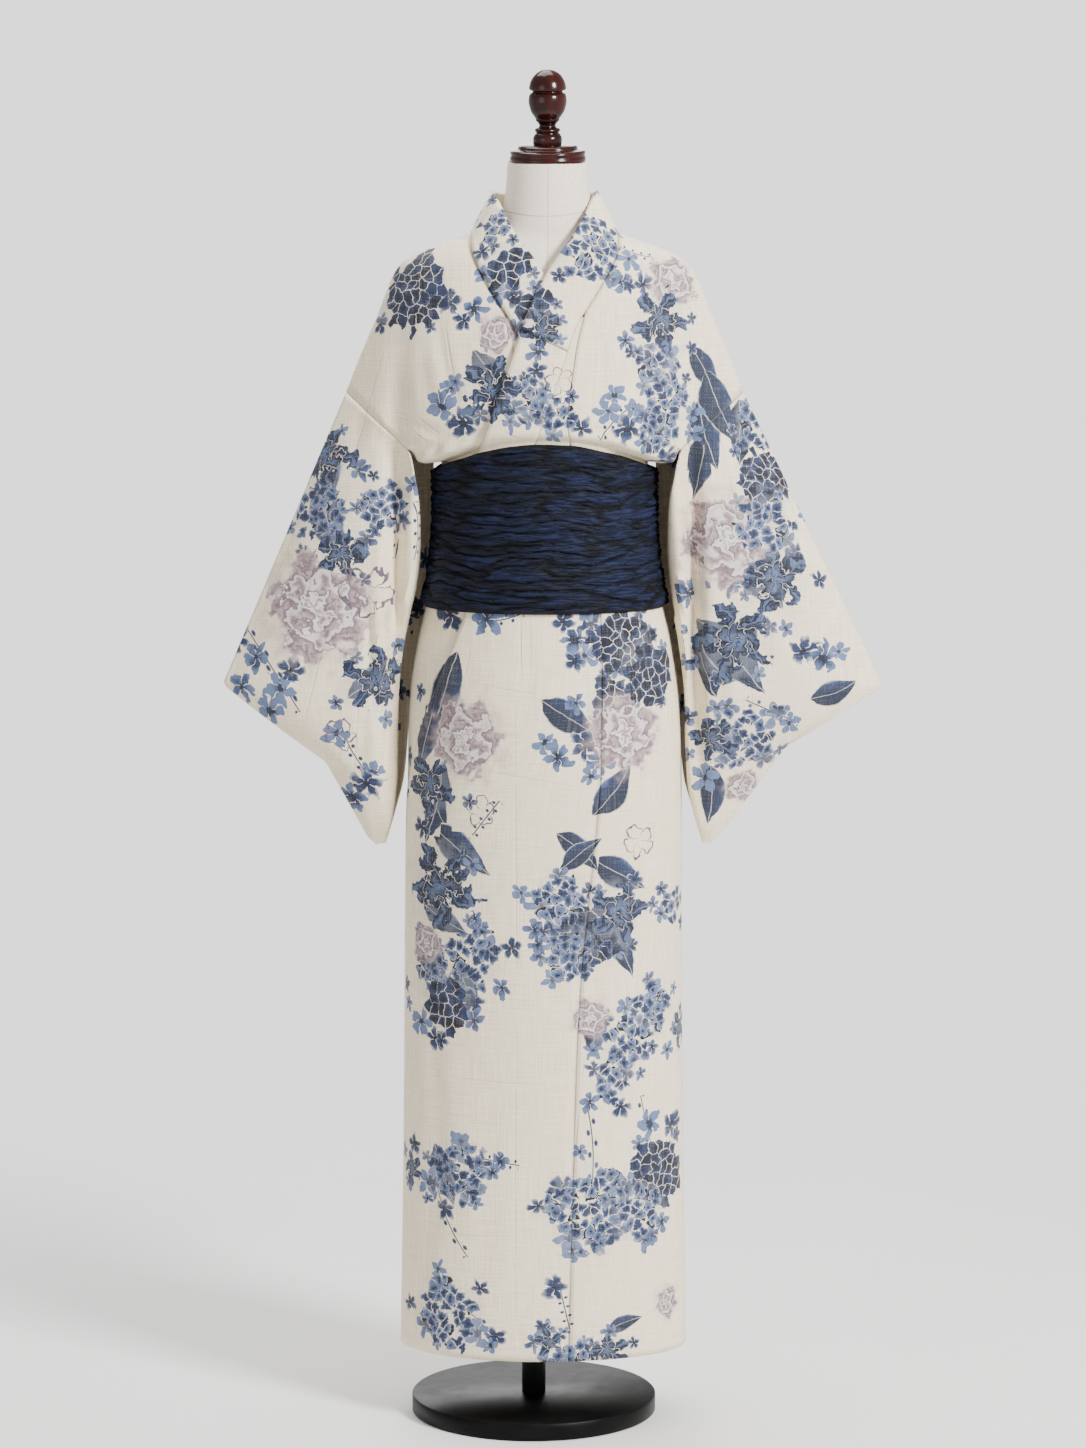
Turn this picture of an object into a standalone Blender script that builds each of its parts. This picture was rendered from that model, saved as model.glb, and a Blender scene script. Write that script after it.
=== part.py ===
"""A cotton yukata robe, wrapped and tied with a crinkled sash, on a limbless dress form.

Metres, +Z up, the front of the robe towards -Y. The origin is the centre of the stand's
underside. The robe is shaped about its own middle line, x = 0, and the empty
"form_axis" carries it to its place over the stand.

The robe's cloth follows one surface. Above the sash, each height has a lens-shaped ring
whose two ends lie on the fold that runs from the neck over the shoulder and down the
sleeve. Below, the cloth is a tube. Every panel is a stretch of that surface between two
seams, and a layer that lies on another is the same surface moved out.
"""

import math

import bmesh
import bpy
from mathutils import Matrix, Vector

# Driving sizes of the robe and its sash.
HEM_Z = 0.085
CLOTH = 0.0015
BAND = 0.0022
OVER_BAND = 0.0014
SEAM_GAP = 0.00035
LAYER_GAP = 0.0010
FOLD_RADIUS = 0.0028
ON_FOLD = 2e-6
SASH_WALL = 0.0032
SASH_BOTTOM_Z = 0.962
SASH_TOP_FRONT_Z = 1.157
SASH_TOP_SIDE_Z = 1.122
SASH_TOP_BACK_Z = 1.138
SASH_LAP = 0.0030

# Driving sizes of the dress form and its stand.
MIDDLE_X = 0.013
BASE_RADIUS = 0.1445
BASE_THICK = 0.021
BASE_BEVEL = 0.0015
POLE_RADIUS = 0.014
FORM_BOTTOM_Z = 0.76
NECK_TOP_Z = 1.474
CAP_TILT = math.radians(5)


class Table:
    """Rows with named columns, read between the rows as a smooth curve of the first column."""

    def __init__(self, columns, *rows):
        self.columns = columns
        self.rows = sorted(rows)

    def __call__(self, key, column):
        rows = self.rows
        index = self.columns.index(column)
        if key <= rows[0][0]:
            return rows[0][index]
        if key >= rows[-1][0]:
            return rows[-1][index]
        low = max(i for i, row in enumerate(rows) if row[0] <= key)

        def slope(i):
            before, after = max(i - 1, 0), min(i + 1, len(rows) - 1)
            rise = rows[after][index] - rows[before][index]
            return rise / (rows[after][0] - rows[before][0])

        span = rows[low + 1][0] - rows[low][0]
        t = (key - rows[low][0]) / span
        start, end = rows[low][index], rows[low + 1][index]
        a, b = slope(low) * span, slope(low + 1) * span
        rise = end * t * t * (3 - 2 * t) + start * (1 + 2 * t) * (1 - t) ** 2
        return rise + a * t * (1 - t) ** 2 - b * t * t * (1 - t)


def mix(a, b, t):
    return a + (b - a) * t


def ease(low, high, value):
    """0 below low, 1 above high, and a soft step between."""
    t = min(1, max(0, (value - low) / (high - low)))
    return t * t * (3 - 2 * t)


def shares(count):
    """count + 1 even shares from 0 to 1."""
    return [i / count for i in range(count + 1)]


# The lens-shaped rings of the upper robe. half_width is where the shoulder fold passes that
# height, and point is how sharply the ring closes there: 1 is round, 2 and over is pressed.
UPPER = Table(
    ("z", "half_width", "front", "back", "point"),
    (1.130, 0.2620, 0.115, 0.110, 2.4),
    (1.150, 0.2540, 0.117, 0.112, 2.3),
    (1.180, 0.2410, 0.117, 0.114, 2.1),
    (1.209, 0.2290, 0.114, 0.115, 1.9),
    (1.250, 0.2130, 0.106, 0.113, 1.6),
    (1.300, 0.1915, 0.092, 0.107, 1.35),
    (1.330, 0.1800, 0.081, 0.100, 1.2),
    (1.358, 0.1640, 0.069, 0.092, 1.1),
    (1.372, 0.1380, 0.062, 0.086, 1.05),
    (1.385, 0.1030, 0.054, 0.080, 1.0),
    (1.391, 0.0830, 0.050, 0.076, 1.0),
    (1.397, 0.0600, 0.046, 0.070, 1.0),
)

# The rings of the tube that the robe makes under the sash and down to its hem.
LOWER = Table(
    ("z", "half_width", "front", "back"),
    (HEM_Z, 0.1670, 0.104, 0.106),
    (0.312, 0.1630, 0.108, 0.109),
    (0.612, 0.1600, 0.112, 0.113),
    (0.780, 0.1590, 0.115, 0.117),
    (0.860, 0.1560, 0.115, 0.117),
    (0.920, 0.1470, 0.110, 0.113),
    (0.963, 0.1370, 0.105, 0.108),
    (1.005, 0.1285, 0.102, 0.104),
    (1.045, 0.1240, 0.101, 0.103),
    (1.085, 0.1230, 0.102, 0.103),
    (1.124, 0.1235, 0.104, 0.104),
    (1.160, 0.1260, 0.107, 0.106),
)

# The wearer's left front, seen from the front: the seam of the collar band and, across
# the band, its free edge. The right front mirrors it underneath.
BAND_SEAM = Table(
    ("z", "x", "edge_x", "edge_z"),
    (1.066, -0.0405, -0.0945, 1.0830),
    (1.100, -0.0310, -0.0850, 1.1170),
    (1.1445, -0.0160, -0.0700, 1.1620),
    (1.184, -0.0010, -0.0555, 1.2025),
    (1.218, 0.0115, -0.0427, 1.2390),
    (1.253, 0.0230, -0.0300, 1.2755),
    (1.2915, 0.0370, -0.0115, 1.3230),
    (1.332, 0.0624, 0.0102, 1.3630),
    (1.3695, 0.0820, 0.0358, 1.3980),
    (1.391, 0.0830, 0.0575, 1.4390),
)
BAND_END_Z = 1.066
OKUMI_TOP_Z = 1.305
OKUMI_SEAM = Table(
    ("z", "x"),
    (HEM_Z, 0.0270),
    (0.186, 0.0290),
    (0.350, 0.0330),
    (0.516, 0.0390),
    (0.650, 0.0510),
    (0.740, 0.0590),
    (0.796, 0.0620),
    (0.969, 0.0610),
    (1.060, 0.0450),
    (1.120, 0.0300),
    (1.168, 0.0245),
    (1.212, 0.0280),
    (1.271, 0.0365),
    (1.305, 0.0455),
)

# The free edges of the overlap below the band's end, as angles round the tube.
WRAP = Table(
    ("z", "over", "under"),
    (HEM_Z, -86.0, 62.0),
    (0.516, -85.5, 62.0),
    (0.650, -84.0, 62.0),
    (0.740, -79.0, 62.0),
    (0.796, -68.0, 61.0),
    (0.828, -61.0, 60.0),
    (0.900, -48.0, 57.0),
    (0.969, -39.5, 52.0),
    (1.003, -37.0, 44.0),
    (1.045, -27.0, 28.0),
    (1.0654, -20.5, 20.5),
)
SIDE_ANGLE = 88.0

# Where the side edges of front and back run above the side seam, beside the arm's slit.
SLIT = Table(
    ("z", "angle"),
    (1.000, 88.0),
    (1.045, 85.0),
    (1.085, 76.0),
    (1.124, 66.0),
    (1.160, 62.0),
)

# The sleeve seam runs from the shoulder fold to the underarm.
NECK_SIDE = (0.083, 1.391)
NECK_BACK_Z = 1.378
SEAM_TOP = (0.2290, 1.209)
UNDERARM = (0.1580, 1.148)
CHEST_FOOT_Z = {"front": 1.181, "back": 1.165}

# The soft trough in front of each arm, from the shoulder down to the sleeve's inner edge.
TROUGH = Table(
    ("z", "x", "depth", "width"),
    (0.700, 0.180, 0.002, 0.010),
    (0.800, 0.177, 0.014, 0.011),
    (0.950, 0.173, 0.024, 0.010),
    (1.080, 0.170, 0.022, 0.011),
    (1.160, 0.168, 0.012, 0.013),
    (1.230, 0.166, 0.006, 0.014),
    (1.310, 0.160, 0.000, 0.015),
)

# The cloth's mouth into the sash: how far above its edge it clears it, and its bulge there.
SASH_MOUTH_Z = 1.142
SASH_CLEAR = 0.0035
SASH_SWELL = 0.0032
SWELL_SIDE_X = 0.100

# The collar band: how thick it lies on the panels, its rows below the chest's, its bow, and
# where its free edge stands round the neck. The loose cover ends on the chest.
BAND_COLUMNS = 4
BAND_OUT = (BAND - CLOTH) / 2
BAND_FOOT_LEVELS = (
    (1.175, 1.169, 1.163, 1.157, 1.151, 1.145, 1.139, 1.132)
    + (1.125, 1.112, 1.098, BAND_END_Z)
)
BAND_BOW = 0.0006
BAND_SIDE_TOP = (0.0575, 1.439)
BAND_BACK_TOP_Z = 1.428
BAND_BACK_Y = 0.066
CROSSING_Z = 1.344
OVER_BAND_END_Z = 1.262

# Each sleeve's outer outline: down the fold to the cuff, across its open edge, then along
# its seamed edge to the round foot. The shares are how far down the sleeve each point is.
SLEEVE_DROPS = (0, 0.07, 0.15, 0.24, 0.33, 0.42, 0.51, 0.60, 0.67, 0.74, 0.80, 0.87, 0.93, 0.97, 1)
SLEEVE_LEFT = (
    (0, 0.2290, 1.209),
    (0.60, 0.3940, 0.868),
    (0.80, 0.2820, 0.797),
    (0.97, 0.2020, 0.690),
    (1.0, 0.1930, 0.682),
)
SLEEVE_RIGHT = (
    (0, 0.2290, 1.209),
    (0.60, 0.3745, 0.869),
    (0.80, 0.2550, 0.778),
    (0.97, 0.2060, 0.689),
    (1.0, 0.1965, 0.681),
)
CUFF_OPEN = 0.010
SLEEVE_GAP = (0.00033, -0.00038)
SLEEVE_FORM = Table(
    ("drop", "inner_z", "depth", "middle"),
    (0, 1.148, 0.056, 0.0),
    (0.30, 1.000, 0.050, 0.0),
    (0.60, 0.850, 0.040, -0.004),
    (0.67, 0.815, 0.037, -0.005),
    (0.74, 0.785, 0.032, -0.006),
    (0.80, 0.760, 0.028, -0.007),
    (0.93, 0.708, 0.014, -0.008),
    (0.97, 0.692, 0.010, -0.008),
    (1.0, 0.683, 0.008, -0.008),
)
SLEEVE_SWELL = Table(
    ("share", "reach"),
    (0.0, 0.0),
    (0.12, 0.42),
    (0.34, 0.84),
    (0.58, 1.0),
    (0.83, 1.08),
    (0.95, 0.95),
    (1.0, 0.62),
)
INNER_LEFT = Table(
    ("z", "front", "back"),
    (0.683, 0.1850, 0.1850),
    (0.720, 0.1740, 0.1740),
    (0.760, 0.1660, 0.1670),
    (0.850, 0.1625, 0.1650),
    (0.900, 0.1580, 0.1620),
    (0.950, 0.1520, 0.1560),
    (0.990, 0.1450, 0.1490),
    (1.030, 0.1420, 0.1440),
    (1.090, 0.1450, 0.1450),
    (1.148, 0.1580, 0.1580),
)
INNER_RIGHT = Table(
    ("z", "front", "back"),
    (0.683, 0.1860, 0.1860),
    (0.720, 0.1770, 0.1750),
    (0.760, 0.1720, 0.1690),
    (0.850, 0.1710, 0.1655),
    (0.900, 0.1690, 0.1630),
    (0.950, 0.1600, 0.1580),
    (0.990, 0.1490, 0.1500),
    (1.030, 0.1440, 0.1450),
    (1.090, 0.1460, 0.1455),
    (1.148, 0.1580, 0.1580),
)

# The sash's crinkles, and how far its inner face stands off the cloth's middle surface.
SASH_SEGMENTS = 34
SASH_CRINKLES = 17
SASH_RIDGE = 0.0030
SASH_WANDER = 0.55
SASH_INNER = 0.0028
SASH_LAP_ANGLE = 205

# The dress form's rings. Its shoulders carry the robe.
FORM_SEGMENTS = 28
FORM = Table(
    ("z", "half_width", "front", "back", "shift"),
    (0.760, 0.1380, 0.0900, 0.0940, 0.0),
    (0.768, 0.1440, 0.0970, 0.1010, 0.0),
    (0.860, 0.1450, 0.1030, 0.1060, 0.0),
    (0.930, 0.1350, 0.0990, 0.1020, 0.0),
    (1.000, 0.1200, 0.0920, 0.0950, 0.0),
    (1.050, 0.1160, 0.0900, 0.0930, 0.0),
    (1.120, 0.1180, 0.0950, 0.0960, 0.0),
    (1.200, 0.1460, 0.1020, 0.1050, 0.0),
    (1.270, 0.1640, 0.0950, 0.1030, 0.0),
    (1.320, 0.1680, 0.0800, 0.0950, 0.0),
    (1.345, 0.1640, 0.0710, 0.0900, 0.0),
    (1.360, 0.1520, 0.0650, 0.0860, 0.0),
    (1.373, 0.1285, 0.0590, 0.0815, 0.0),
    (1.384, 0.0980, 0.0535, 0.0740, 0.001),
    (1.392, 0.0720, 0.0510, 0.0660, 0.0015),
    (1.402, 0.0560, 0.0510, 0.0580, 0.002),
    (1.430, 0.0495, 0.0495, 0.0495, 0.003),
    (NECK_TOP_Z, 0.0455, 0.0455, 0.0455, 0.003),
)
FORM_LEVELS = (
    (0.760, 0.768, 0.80, 0.86, 0.93, 1.0, 1.05, 1.12, 1.2, 1.26, 1.3, 1.33)
    + (1.347, 1.36, 1.372, 1.383, 1.392, 1.402, 1.43)
)

# Turned profiles as (radius, height) above each piece's own foot.
BASE_PROFILE = (
    (BASE_RADIUS - BASE_BEVEL, 0),
    (BASE_RADIUS, BASE_BEVEL),
    (BASE_RADIUS, BASE_THICK - BASE_BEVEL),
    (BASE_RADIUS - BASE_BEVEL, BASE_THICK),
)
CAP_PROFILE = (
    (0.0425, 0.0),
    (0.0440, 0.0015),
    (0.0444, 0.0045),
    (0.0432, 0.0075),
    (0.0438, 0.0100),
    (0.0428, 0.0130),
    (0.0352, 0.0148),
    (0.0345, 0.0172),
    (0.0325, 0.0190),
)
FINIAL_PROFILE = (
    (0.0162, 0.0000),
    (0.0168, 0.0029),
    (0.0168, 0.0082),
    (0.0150, 0.0121),
    (0.0132, 0.0140),
    (0.0148, 0.0164),
    (0.0140, 0.0189),
    (0.0102, 0.0208),
    (0.0098, 0.0232),
    (0.0125, 0.0266),
    (0.0143, 0.0285),
    (0.0140, 0.0300),
    (0.0195, 0.0382),
    (0.0220, 0.0469),
    (0.0222, 0.0527),
    (0.0208, 0.0585),
    (0.0180, 0.0604),
    (0.0178, 0.0619),
    (0.0212, 0.0633),
    (0.0217, 0.0658),
    (0.0196, 0.0735),
    (0.0148, 0.0807),
    (0.0080, 0.0851),
    (0.0025, 0.0864),
)

# Rows from the shoulder fold to the underarm, which the sleeve's columns share, so that
# both sides of the sleeve seam have the same points.
SEAM_SHARES = (0, 0.012, 0.05, 0.13, 0.25, 0.38, 0.51, 0.63, 0.74, 0.84, 0.93, 1)
NECK_COLUMNS = 4
FOLD_COLUMNS = 7
SKIRT_LEVELS = (
    (1.098, BAND_END_Z - 0.0006, 1.003, 0.963, 0.925, 0.88)
    + (0.82, 0.73, 0.61, 0.46, 0.28, HEM_Z)
)
OKUMI_LEVELS = sorted({*SKIRT_LEVELS, 1.045, 1.024, 0.90, 0.85, 0.795, 0.77, 0.75, 0.69, 0.65})


def fold_height(x):
    """The height at which the shoulder fold passes x."""
    low, high = UPPER.rows[0][0], UPPER.rows[-1][0]
    for _ in range(40):
        middle = (low + high) / 2
        if UPPER(middle, "half_width") > x:
            low = middle
        else:
            high = middle
    return (low + high) / 2


def trough(x, z):
    away = (abs(x) - TROUGH(z, "x")) / TROUGH(z, "width")
    return TROUGH(z, "depth") * math.exp(-away * away)


def round_fold(inset):
    """Half the thickness of a folded edge, at a distance in from it."""
    t = min(max(inset, 0), FOLD_RADIUS)
    return math.sqrt(2 * FOLD_RADIUS * t - t * t)


def upper_depth(x, z, face):
    half = UPPER(z, "half_width")
    if half - abs(x) < ON_FOLD:
        return 0.0
    share = abs(x) / half
    lens = UPPER(z, face) * (1 - share * share) ** (UPPER(z, "point") / 2)
    return math.hypot(lens, round_fold(half - abs(x)))


def upper_point(x, z, face, lift=0.0):
    """The upper cloth at x and z, on its front or back face."""
    depth = upper_depth(x, z, face)
    if face == "back":
        return Vector((x, depth, z))
    inward = trough(x, z) * ease(0, 0.04, depth)
    return Vector((x, inward - depth - lift * ease(0, 0.03, depth), z))


def lower_point(angle, z, lift=0.0):
    """The tube at an angle in degrees: 0 in front, 90 on the wearer's left, 180 behind."""
    turn = math.radians(angle)
    face = "front" if math.cos(turn) > 0 else "back"
    across = (LOWER(z, "half_width") + lift) * math.sin(turn)
    return Vector((across, -(LOWER(z, face) + lift) * math.cos(turn), z))


def angle_at(x, z, lift=0.0):
    """The tube's angle where its front passes x."""
    return math.degrees(math.asin(x / (LOWER(z, "half_width") + lift)))


def gap_angle(z):
    """Half a seam's gap as an angle of the tube, in front."""
    return math.degrees(SEAM_GAP / 2 / LOWER(z, "front"))


def sash_top(angle):
    """The height of the sash's top edge at an angle of the tube."""
    turn = math.radians(angle)
    end = SASH_TOP_FRONT_Z if math.cos(turn) > 0 else SASH_TOP_BACK_Z
    return mix(SASH_TOP_SIDE_Z, end, math.cos(turn) ** 2)


def over_full(z):
    """How far the left front stands off the right front: it clears the band on the chest."""
    chest = BAND + OVER_BAND + 2 * LAYER_GAP
    skirt = CLOTH + 2 * LAYER_GAP
    return mix(skirt, chest, ease(0.98, 1.10, z)) * (1 - ease(1.350, 1.386, z))


def chest_lift(x, z, over):
    return over_full(z) * (1 - ease(0.080, 0.135, x)) if over else 0.0


def tube_lift(angle, z, over):
    return over_full(z) * (1 - ease(62, 87, angle)) if over else 0.0


def material(name, colour, roughness, metallic=0.0):
    made = bpy.data.materials.new(name)
    made.use_nodes = True
    shader = made.node_tree.nodes["Principled BSDF"]
    shader.inputs["Base Color"].default_value = (*colour, 1)
    shader.inputs["Roughness"].default_value = roughness
    shader.inputs["Metallic"].default_value = metallic
    return made


def finished(name, bm, finish, parent):
    """The bmesh as a named object, with its faces turned out and its smooth faces shaded."""
    bmesh.ops.recalc_face_normals(bm, faces=bm.faces)
    mesh = bpy.data.meshes.new(name)
    bm.to_mesh(mesh)
    bm.free()
    mesh.materials.append(finish)
    mesh.shade_smooth()
    mesh.set_sharp_from_angle(angle=math.radians(40))
    piece = bpy.data.objects.new(name, mesh)
    bpy.context.scene.collection.objects.link(piece)
    piece.parent = parent
    return piece


def skin(bm, grid):
    """Faces through a grid of points."""
    columns = len(grid[0])
    made = bmesh.ops.create_grid(bm, x_segments=columns - 1, y_segments=len(grid) - 1, size=1)
    for index, vert in enumerate(made["verts"]):
        vert.co = grid[index // columns][index % columns]


def cloth_piece(name, grids, thick, finish, parent):
    """One piece of cloth: its sheets joined where they share points, given an even wall."""
    bm = bmesh.new()
    for grid in grids:
        skin(bm, grid)
    bmesh.ops.remove_doubles(bm, verts=bm.verts, dist=1e-5)
    piece = finished(name, bm, finish, parent)
    solidify = piece.modifiers.new("wall", "SOLIDIFY")
    solidify.thickness = thick
    solidify.offset = 0
    solidify.use_even_offset = True
    solidify.thickness_clamp = 0.9
    return piece


def mirrored(grid):
    """The grid on the wearer's other side."""
    return [[Vector((-p.x, p.y, p.z)) for p in line] for line in grid]


def moved_out(grid, distance):
    """The grid moved along its normals, away from the form's axis."""
    rows, columns = len(grid), len(grid[0])
    moved = []
    for i in range(rows):
        line = []
        for j in range(columns):
            down = grid[min(i + 1, rows - 1)][j] - grid[max(i - 1, 0)][j]
            across = grid[i][min(j + 1, columns - 1)] - grid[i][max(j - 1, 0)]
            normal = down.cross(across).normalized()
            point = grid[i][j]
            if normal.dot(Vector((point.x, point.y, 0.05))) < 0:
                normal.negate()
            line.append(point + normal * distance)
        moved.append(line)
    return moved


def inner_edge(z):
    """The front's inner edge: along the band, then along the okumi."""
    return BAND_SEAM(z, "x") if z >= OKUMI_TOP_Z else OKUMI_SEAM(z, "x")


def chest_levels():
    """Heights of the rows at the front's inner edge, from the neck to above the sash."""
    return [mix(NECK_SIDE[1], CHEST_FOOT_Z["front"], share) for share in SEAM_SHARES]


def fold_line():
    """The shoulder fold in front view, from the side of the neck to the sleeve seam."""
    across = [mix(NECK_SIDE[0], SEAM_TOP[0], share) for share in shares(FOLD_COLUMNS)]
    return [(x, fold_height(x)) for x in across]


def neck_line():
    """The back neck seam in front view, from the centre back to the side of the neck."""
    rise = NECK_SIDE[1] - NECK_BACK_Z
    line = []
    for share in shares(NECK_COLUMNS):
        across = math.sin(math.pi / 2 * share)
        line.append((max(SEAM_GAP / 2, NECK_SIDE[0] * across), NECK_BACK_Z + rise * across**2))
    return line


def patch(edges, corners, s, d):
    """A point in the patch between four edges, from their points at the shares s and d."""
    top, foot, start, end = (Vector(point) for point in edges)
    top_start, top_end, foot_start, foot_end = (Vector(point) for point in corners)
    corner = top_start.lerp(top_end, s).lerp(foot_start.lerp(foot_end, s), d)
    return top.lerp(foot, d) + start.lerp(end, s) - corner


def chest_sheet(face, over):
    """The front or back of one side, from the shoulder fold to just above the sash."""
    front = face == "front"
    top = fold_line() if front else neck_line()[:-1] + fold_line()
    foot_z = CHEST_FOOT_Z[face]
    foot_x = inner_edge(foot_z) + SEAM_GAP / 2 if front else SEAM_GAP / 2
    corners = (top[0], SEAM_TOP, (foot_x, foot_z), UNDERARM)
    grid = []
    for share in SEAM_SHARES:
        z = mix(top[0][1], foot_z, share)
        start = (SEAM_GAP / 2, z)
        if front:
            start = (inner_edge(z) + SEAM_GAP / 2 * ease(0, 0.1, share), z)
        end = Vector(SEAM_TOP).lerp(Vector(UNDERARM), share)
        line = []
        for s, fold in zip(shares(len(top) - 1), top):
            foot = (mix(foot_x, UNDERARM[0], s), mix(foot_z, UNDERARM[1], s * s))
            x, level = patch((fold, foot, start, end), corners, s, share)
            line.append(upper_point(x, level, face, chest_lift(x, level, over)))
        grid.append(line)
    return grid


def on_rows(edge, z, levels):
    """An edge's x at z, straight between the heights where its neighbour has points."""
    if z in levels or not min(levels) < z < max(levels):
        return edge(z)
    high = min(level for level in levels if level > z)
    low = max(level for level in levels if level < z)
    return mix(edge(low), edge(high), (z - low) / (high - low))


def skirt_seam(z):
    """The okumi seam's x below the chest."""
    return on_rows(lambda level: OKUMI_SEAM(level, "x"), z, SKIRT_LEVELS)


def tube_row(face, z, count, over, above_sash=None):
    """A row of the tube from the front's inner edge, or the centre back, to the side.

    above_sash lays the row along the sash's top edge, so far above it.
    """
    gap = gap_angle(z)
    if face == "front":
        start, end = angle_at(skirt_seam(z), z) + gap, SLIT(z, "angle") - gap
    else:
        start, end = 180 - gap, 180 - SLIT(z, "angle") + gap
        if z <= SLIT.rows[0][0]:
            end = SIDE_ANGLE + gap
    line = []
    for s in shares(count):
        angle = mix(start, end, s)
        level = z if above_sash is None else sash_top(angle) + above_sash
        line.append(lower_point(angle, level, tube_lift(angle, level, over)))
    return line


def swell_row(face, high, low, over):
    """The row where the cloth bulges out over the sash's top edge, between two rows."""
    line = []
    for above, below in zip(high, low):
        point = above.lerp(below, 0.5)
        if face == "front" and point.x < SWELL_SIDE_X:
            line.append(front_point(point.x, point.z, chest_lift(point.x, point.z, over)))
        else:
            line.append(point + Vector((point.x, point.y, 0)).normalized() * SASH_SWELL)
    return line


def chest_foot(x):
    """The height where the front leaves the chest's rings to go into the sash."""
    inner = OKUMI_SEAM(CHEST_FOOT_Z["front"], "x")
    share = max(0, (abs(x) - inner) / (UNDERARM[0] - inner))
    return mix(CHEST_FOOT_Z["front"], UNDERARM[1], share * share)


def front_point(x, z, lift):
    """The front's cloth at x and z, anywhere above the sash's lower edge."""
    foot = chest_foot(x)
    if z >= foot:
        return upper_point(x, z, "front", lift)
    angle = angle_at(x, min(z, LOWER.rows[-1][0]), lift)
    mouth = sash_top(angle) + SASH_CLEAR
    if z <= mouth:
        return lower_point(angle, z, lift)
    share = (foot - z) / (foot - mouth)
    high, low = upper_point(x, foot, "front", lift), lower_point(angle, mouth, lift)
    swell = SASH_SWELL * math.sin(math.pi * share) ** 2
    return Vector((x, mix(high.y, low.y, share) - swell, z))


def length_sheet(face, over):
    """The front or back half of one length of the robe, from the shoulder to the hem."""
    grid = chest_sheet(face, over)
    columns = len(grid[0]) - 1
    mouth = tube_row(face, SASH_MOUTH_Z, columns, over, above_sash=SASH_CLEAR)
    grid += [swell_row(face, grid[-1], mouth, over), mouth]
    grid += [tube_row(face, z, columns, over) for z in SKIRT_LEVELS]
    return grid


def okumi_sheet(over):
    """The overlap panel, from its top in the collar band's seam to the hem."""
    columns = 10 if over else 8
    grid = []
    levels = chest_levels()
    for z in [OKUMI_TOP_Z - 0.005] + [z for z in levels if z < OKUMI_TOP_Z - 0.01]:
        start = on_rows(lambda level: BAND_SEAM(level, "x"), z, levels) + SEAM_GAP
        end = on_rows(inner_edge, z, levels) - SEAM_GAP / 2
        across = [mix(start, end, s) for s in shares(columns)]
        grid.append([upper_point(x, z, "front", chest_lift(x, z, over)) for x in across])
    for z in (SASH_MOUTH_Z, *OKUMI_LEVELS[::-1]):
        gap = gap_angle(z)
        if z > BAND_END_Z - 0.001:
            level = SASH_TOP_FRONT_Z + SASH_CLEAR if z == SASH_MOUTH_Z else z
            start = angle_at(BAND_SEAM(level, "x"), level, tube_lift(0, level, over)) + 2 * gap
        else:
            start = WRAP(z, "over") if over else -WRAP(z, "under")
        end = angle_at(skirt_seam(z), z) - gap
        line = []
        for s in shares(columns):
            angle = mix(start, end, s)
            level = sash_top(angle) + SASH_CLEAR if z == SASH_MOUTH_Z else z
            line.append(lower_point(angle, level, tube_lift(angle, level, over)))
        if z == SASH_MOUTH_Z:
            grid.append(swell_row("front", grid[-1], line, over))
        grid.append(line)
    return grid


def band_rows(over):
    """The collar band's rows on one side, from the centre back to its end.

    Each row runs from the band's seam to its free edge. The band stands free round the
    neck, and lies on the chest's surface below the crossing.
    """
    rows = []
    across = shares(BAND_COLUMNS)
    for (x, z), share in list(zip(neck_line(), shares(NECK_COLUMNS)))[:-1]:
        turn = math.pi / 2 * share
        seam = upper_point(x, z, "back") - Vector((0, SEAM_GAP, 0))
        edge_z = mix(BAND_BACK_TOP_Z, BAND_SIDE_TOP[1], share)
        edge_x = max(SEAM_GAP / 2, BAND_SIDE_TOP[0] * math.sin(turn))
        edge = Vector((edge_x, BAND_BACK_Y * math.cos(turn), edge_z))
        rows.append([free_point(seam, edge, 1, s) for s in across])
    for z in (*chest_levels(), *BAND_FOOT_LEVELS):
        seam_x = BAND_SEAM(z, "x") - SEAM_GAP / 2
        edge_x, edge_z = BAND_SEAM(z, "edge_x"), BAND_SEAM(z, "edge_z")
        away = max(0, (edge_z - CROSSING_Z) / (BAND_SIDE_TOP[1] - CROSSING_Z))
        seam = front_point(seam_x, z, chest_lift(seam_x, z, over))
        laid = front_point(edge_x, CROSSING_Z, chest_lift(edge_x, CROSSING_Z, over))
        edge = Vector((edge_x, laid.y * (1 - away**2.4), edge_z))
        row = []
        for s in across:
            x, level = mix(seam_x, edge_x, s), mix(z, edge_z, s)
            lying = front_point(x, level, chest_lift(x, level, over))
            standing = free_point(seam, edge, ease(1.30, 1.385, z), s)
            row.append(lying.lerp(standing, ease(0, 0.35, away)))
        rows.append(row)
    return rows


def free_point(seam, edge, steep, share):
    """A point across the band where it stands free, clear of the panel at a steep seam."""
    along = (edge - seam).normalized()
    foot = seam + along * steep * (CLOTH / 2 + SEAM_GAP)
    middle = (seam + edge) / 2
    outward = Vector((middle.x, middle.y, 0)).normalized()
    return foot.lerp(edge, share) + outward * BAND_BOW * math.sin(math.pi * share)


def between(points, share):
    """A point on the broken line through rows of (share, x, z)."""
    for (before, *start), (after, *end) in zip(points, points[1:]):
        if share <= after:
            return Vector(start).lerp(Vector(end), (share - before) / (after - before))
    return Vector(points[-1][1:])


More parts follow.
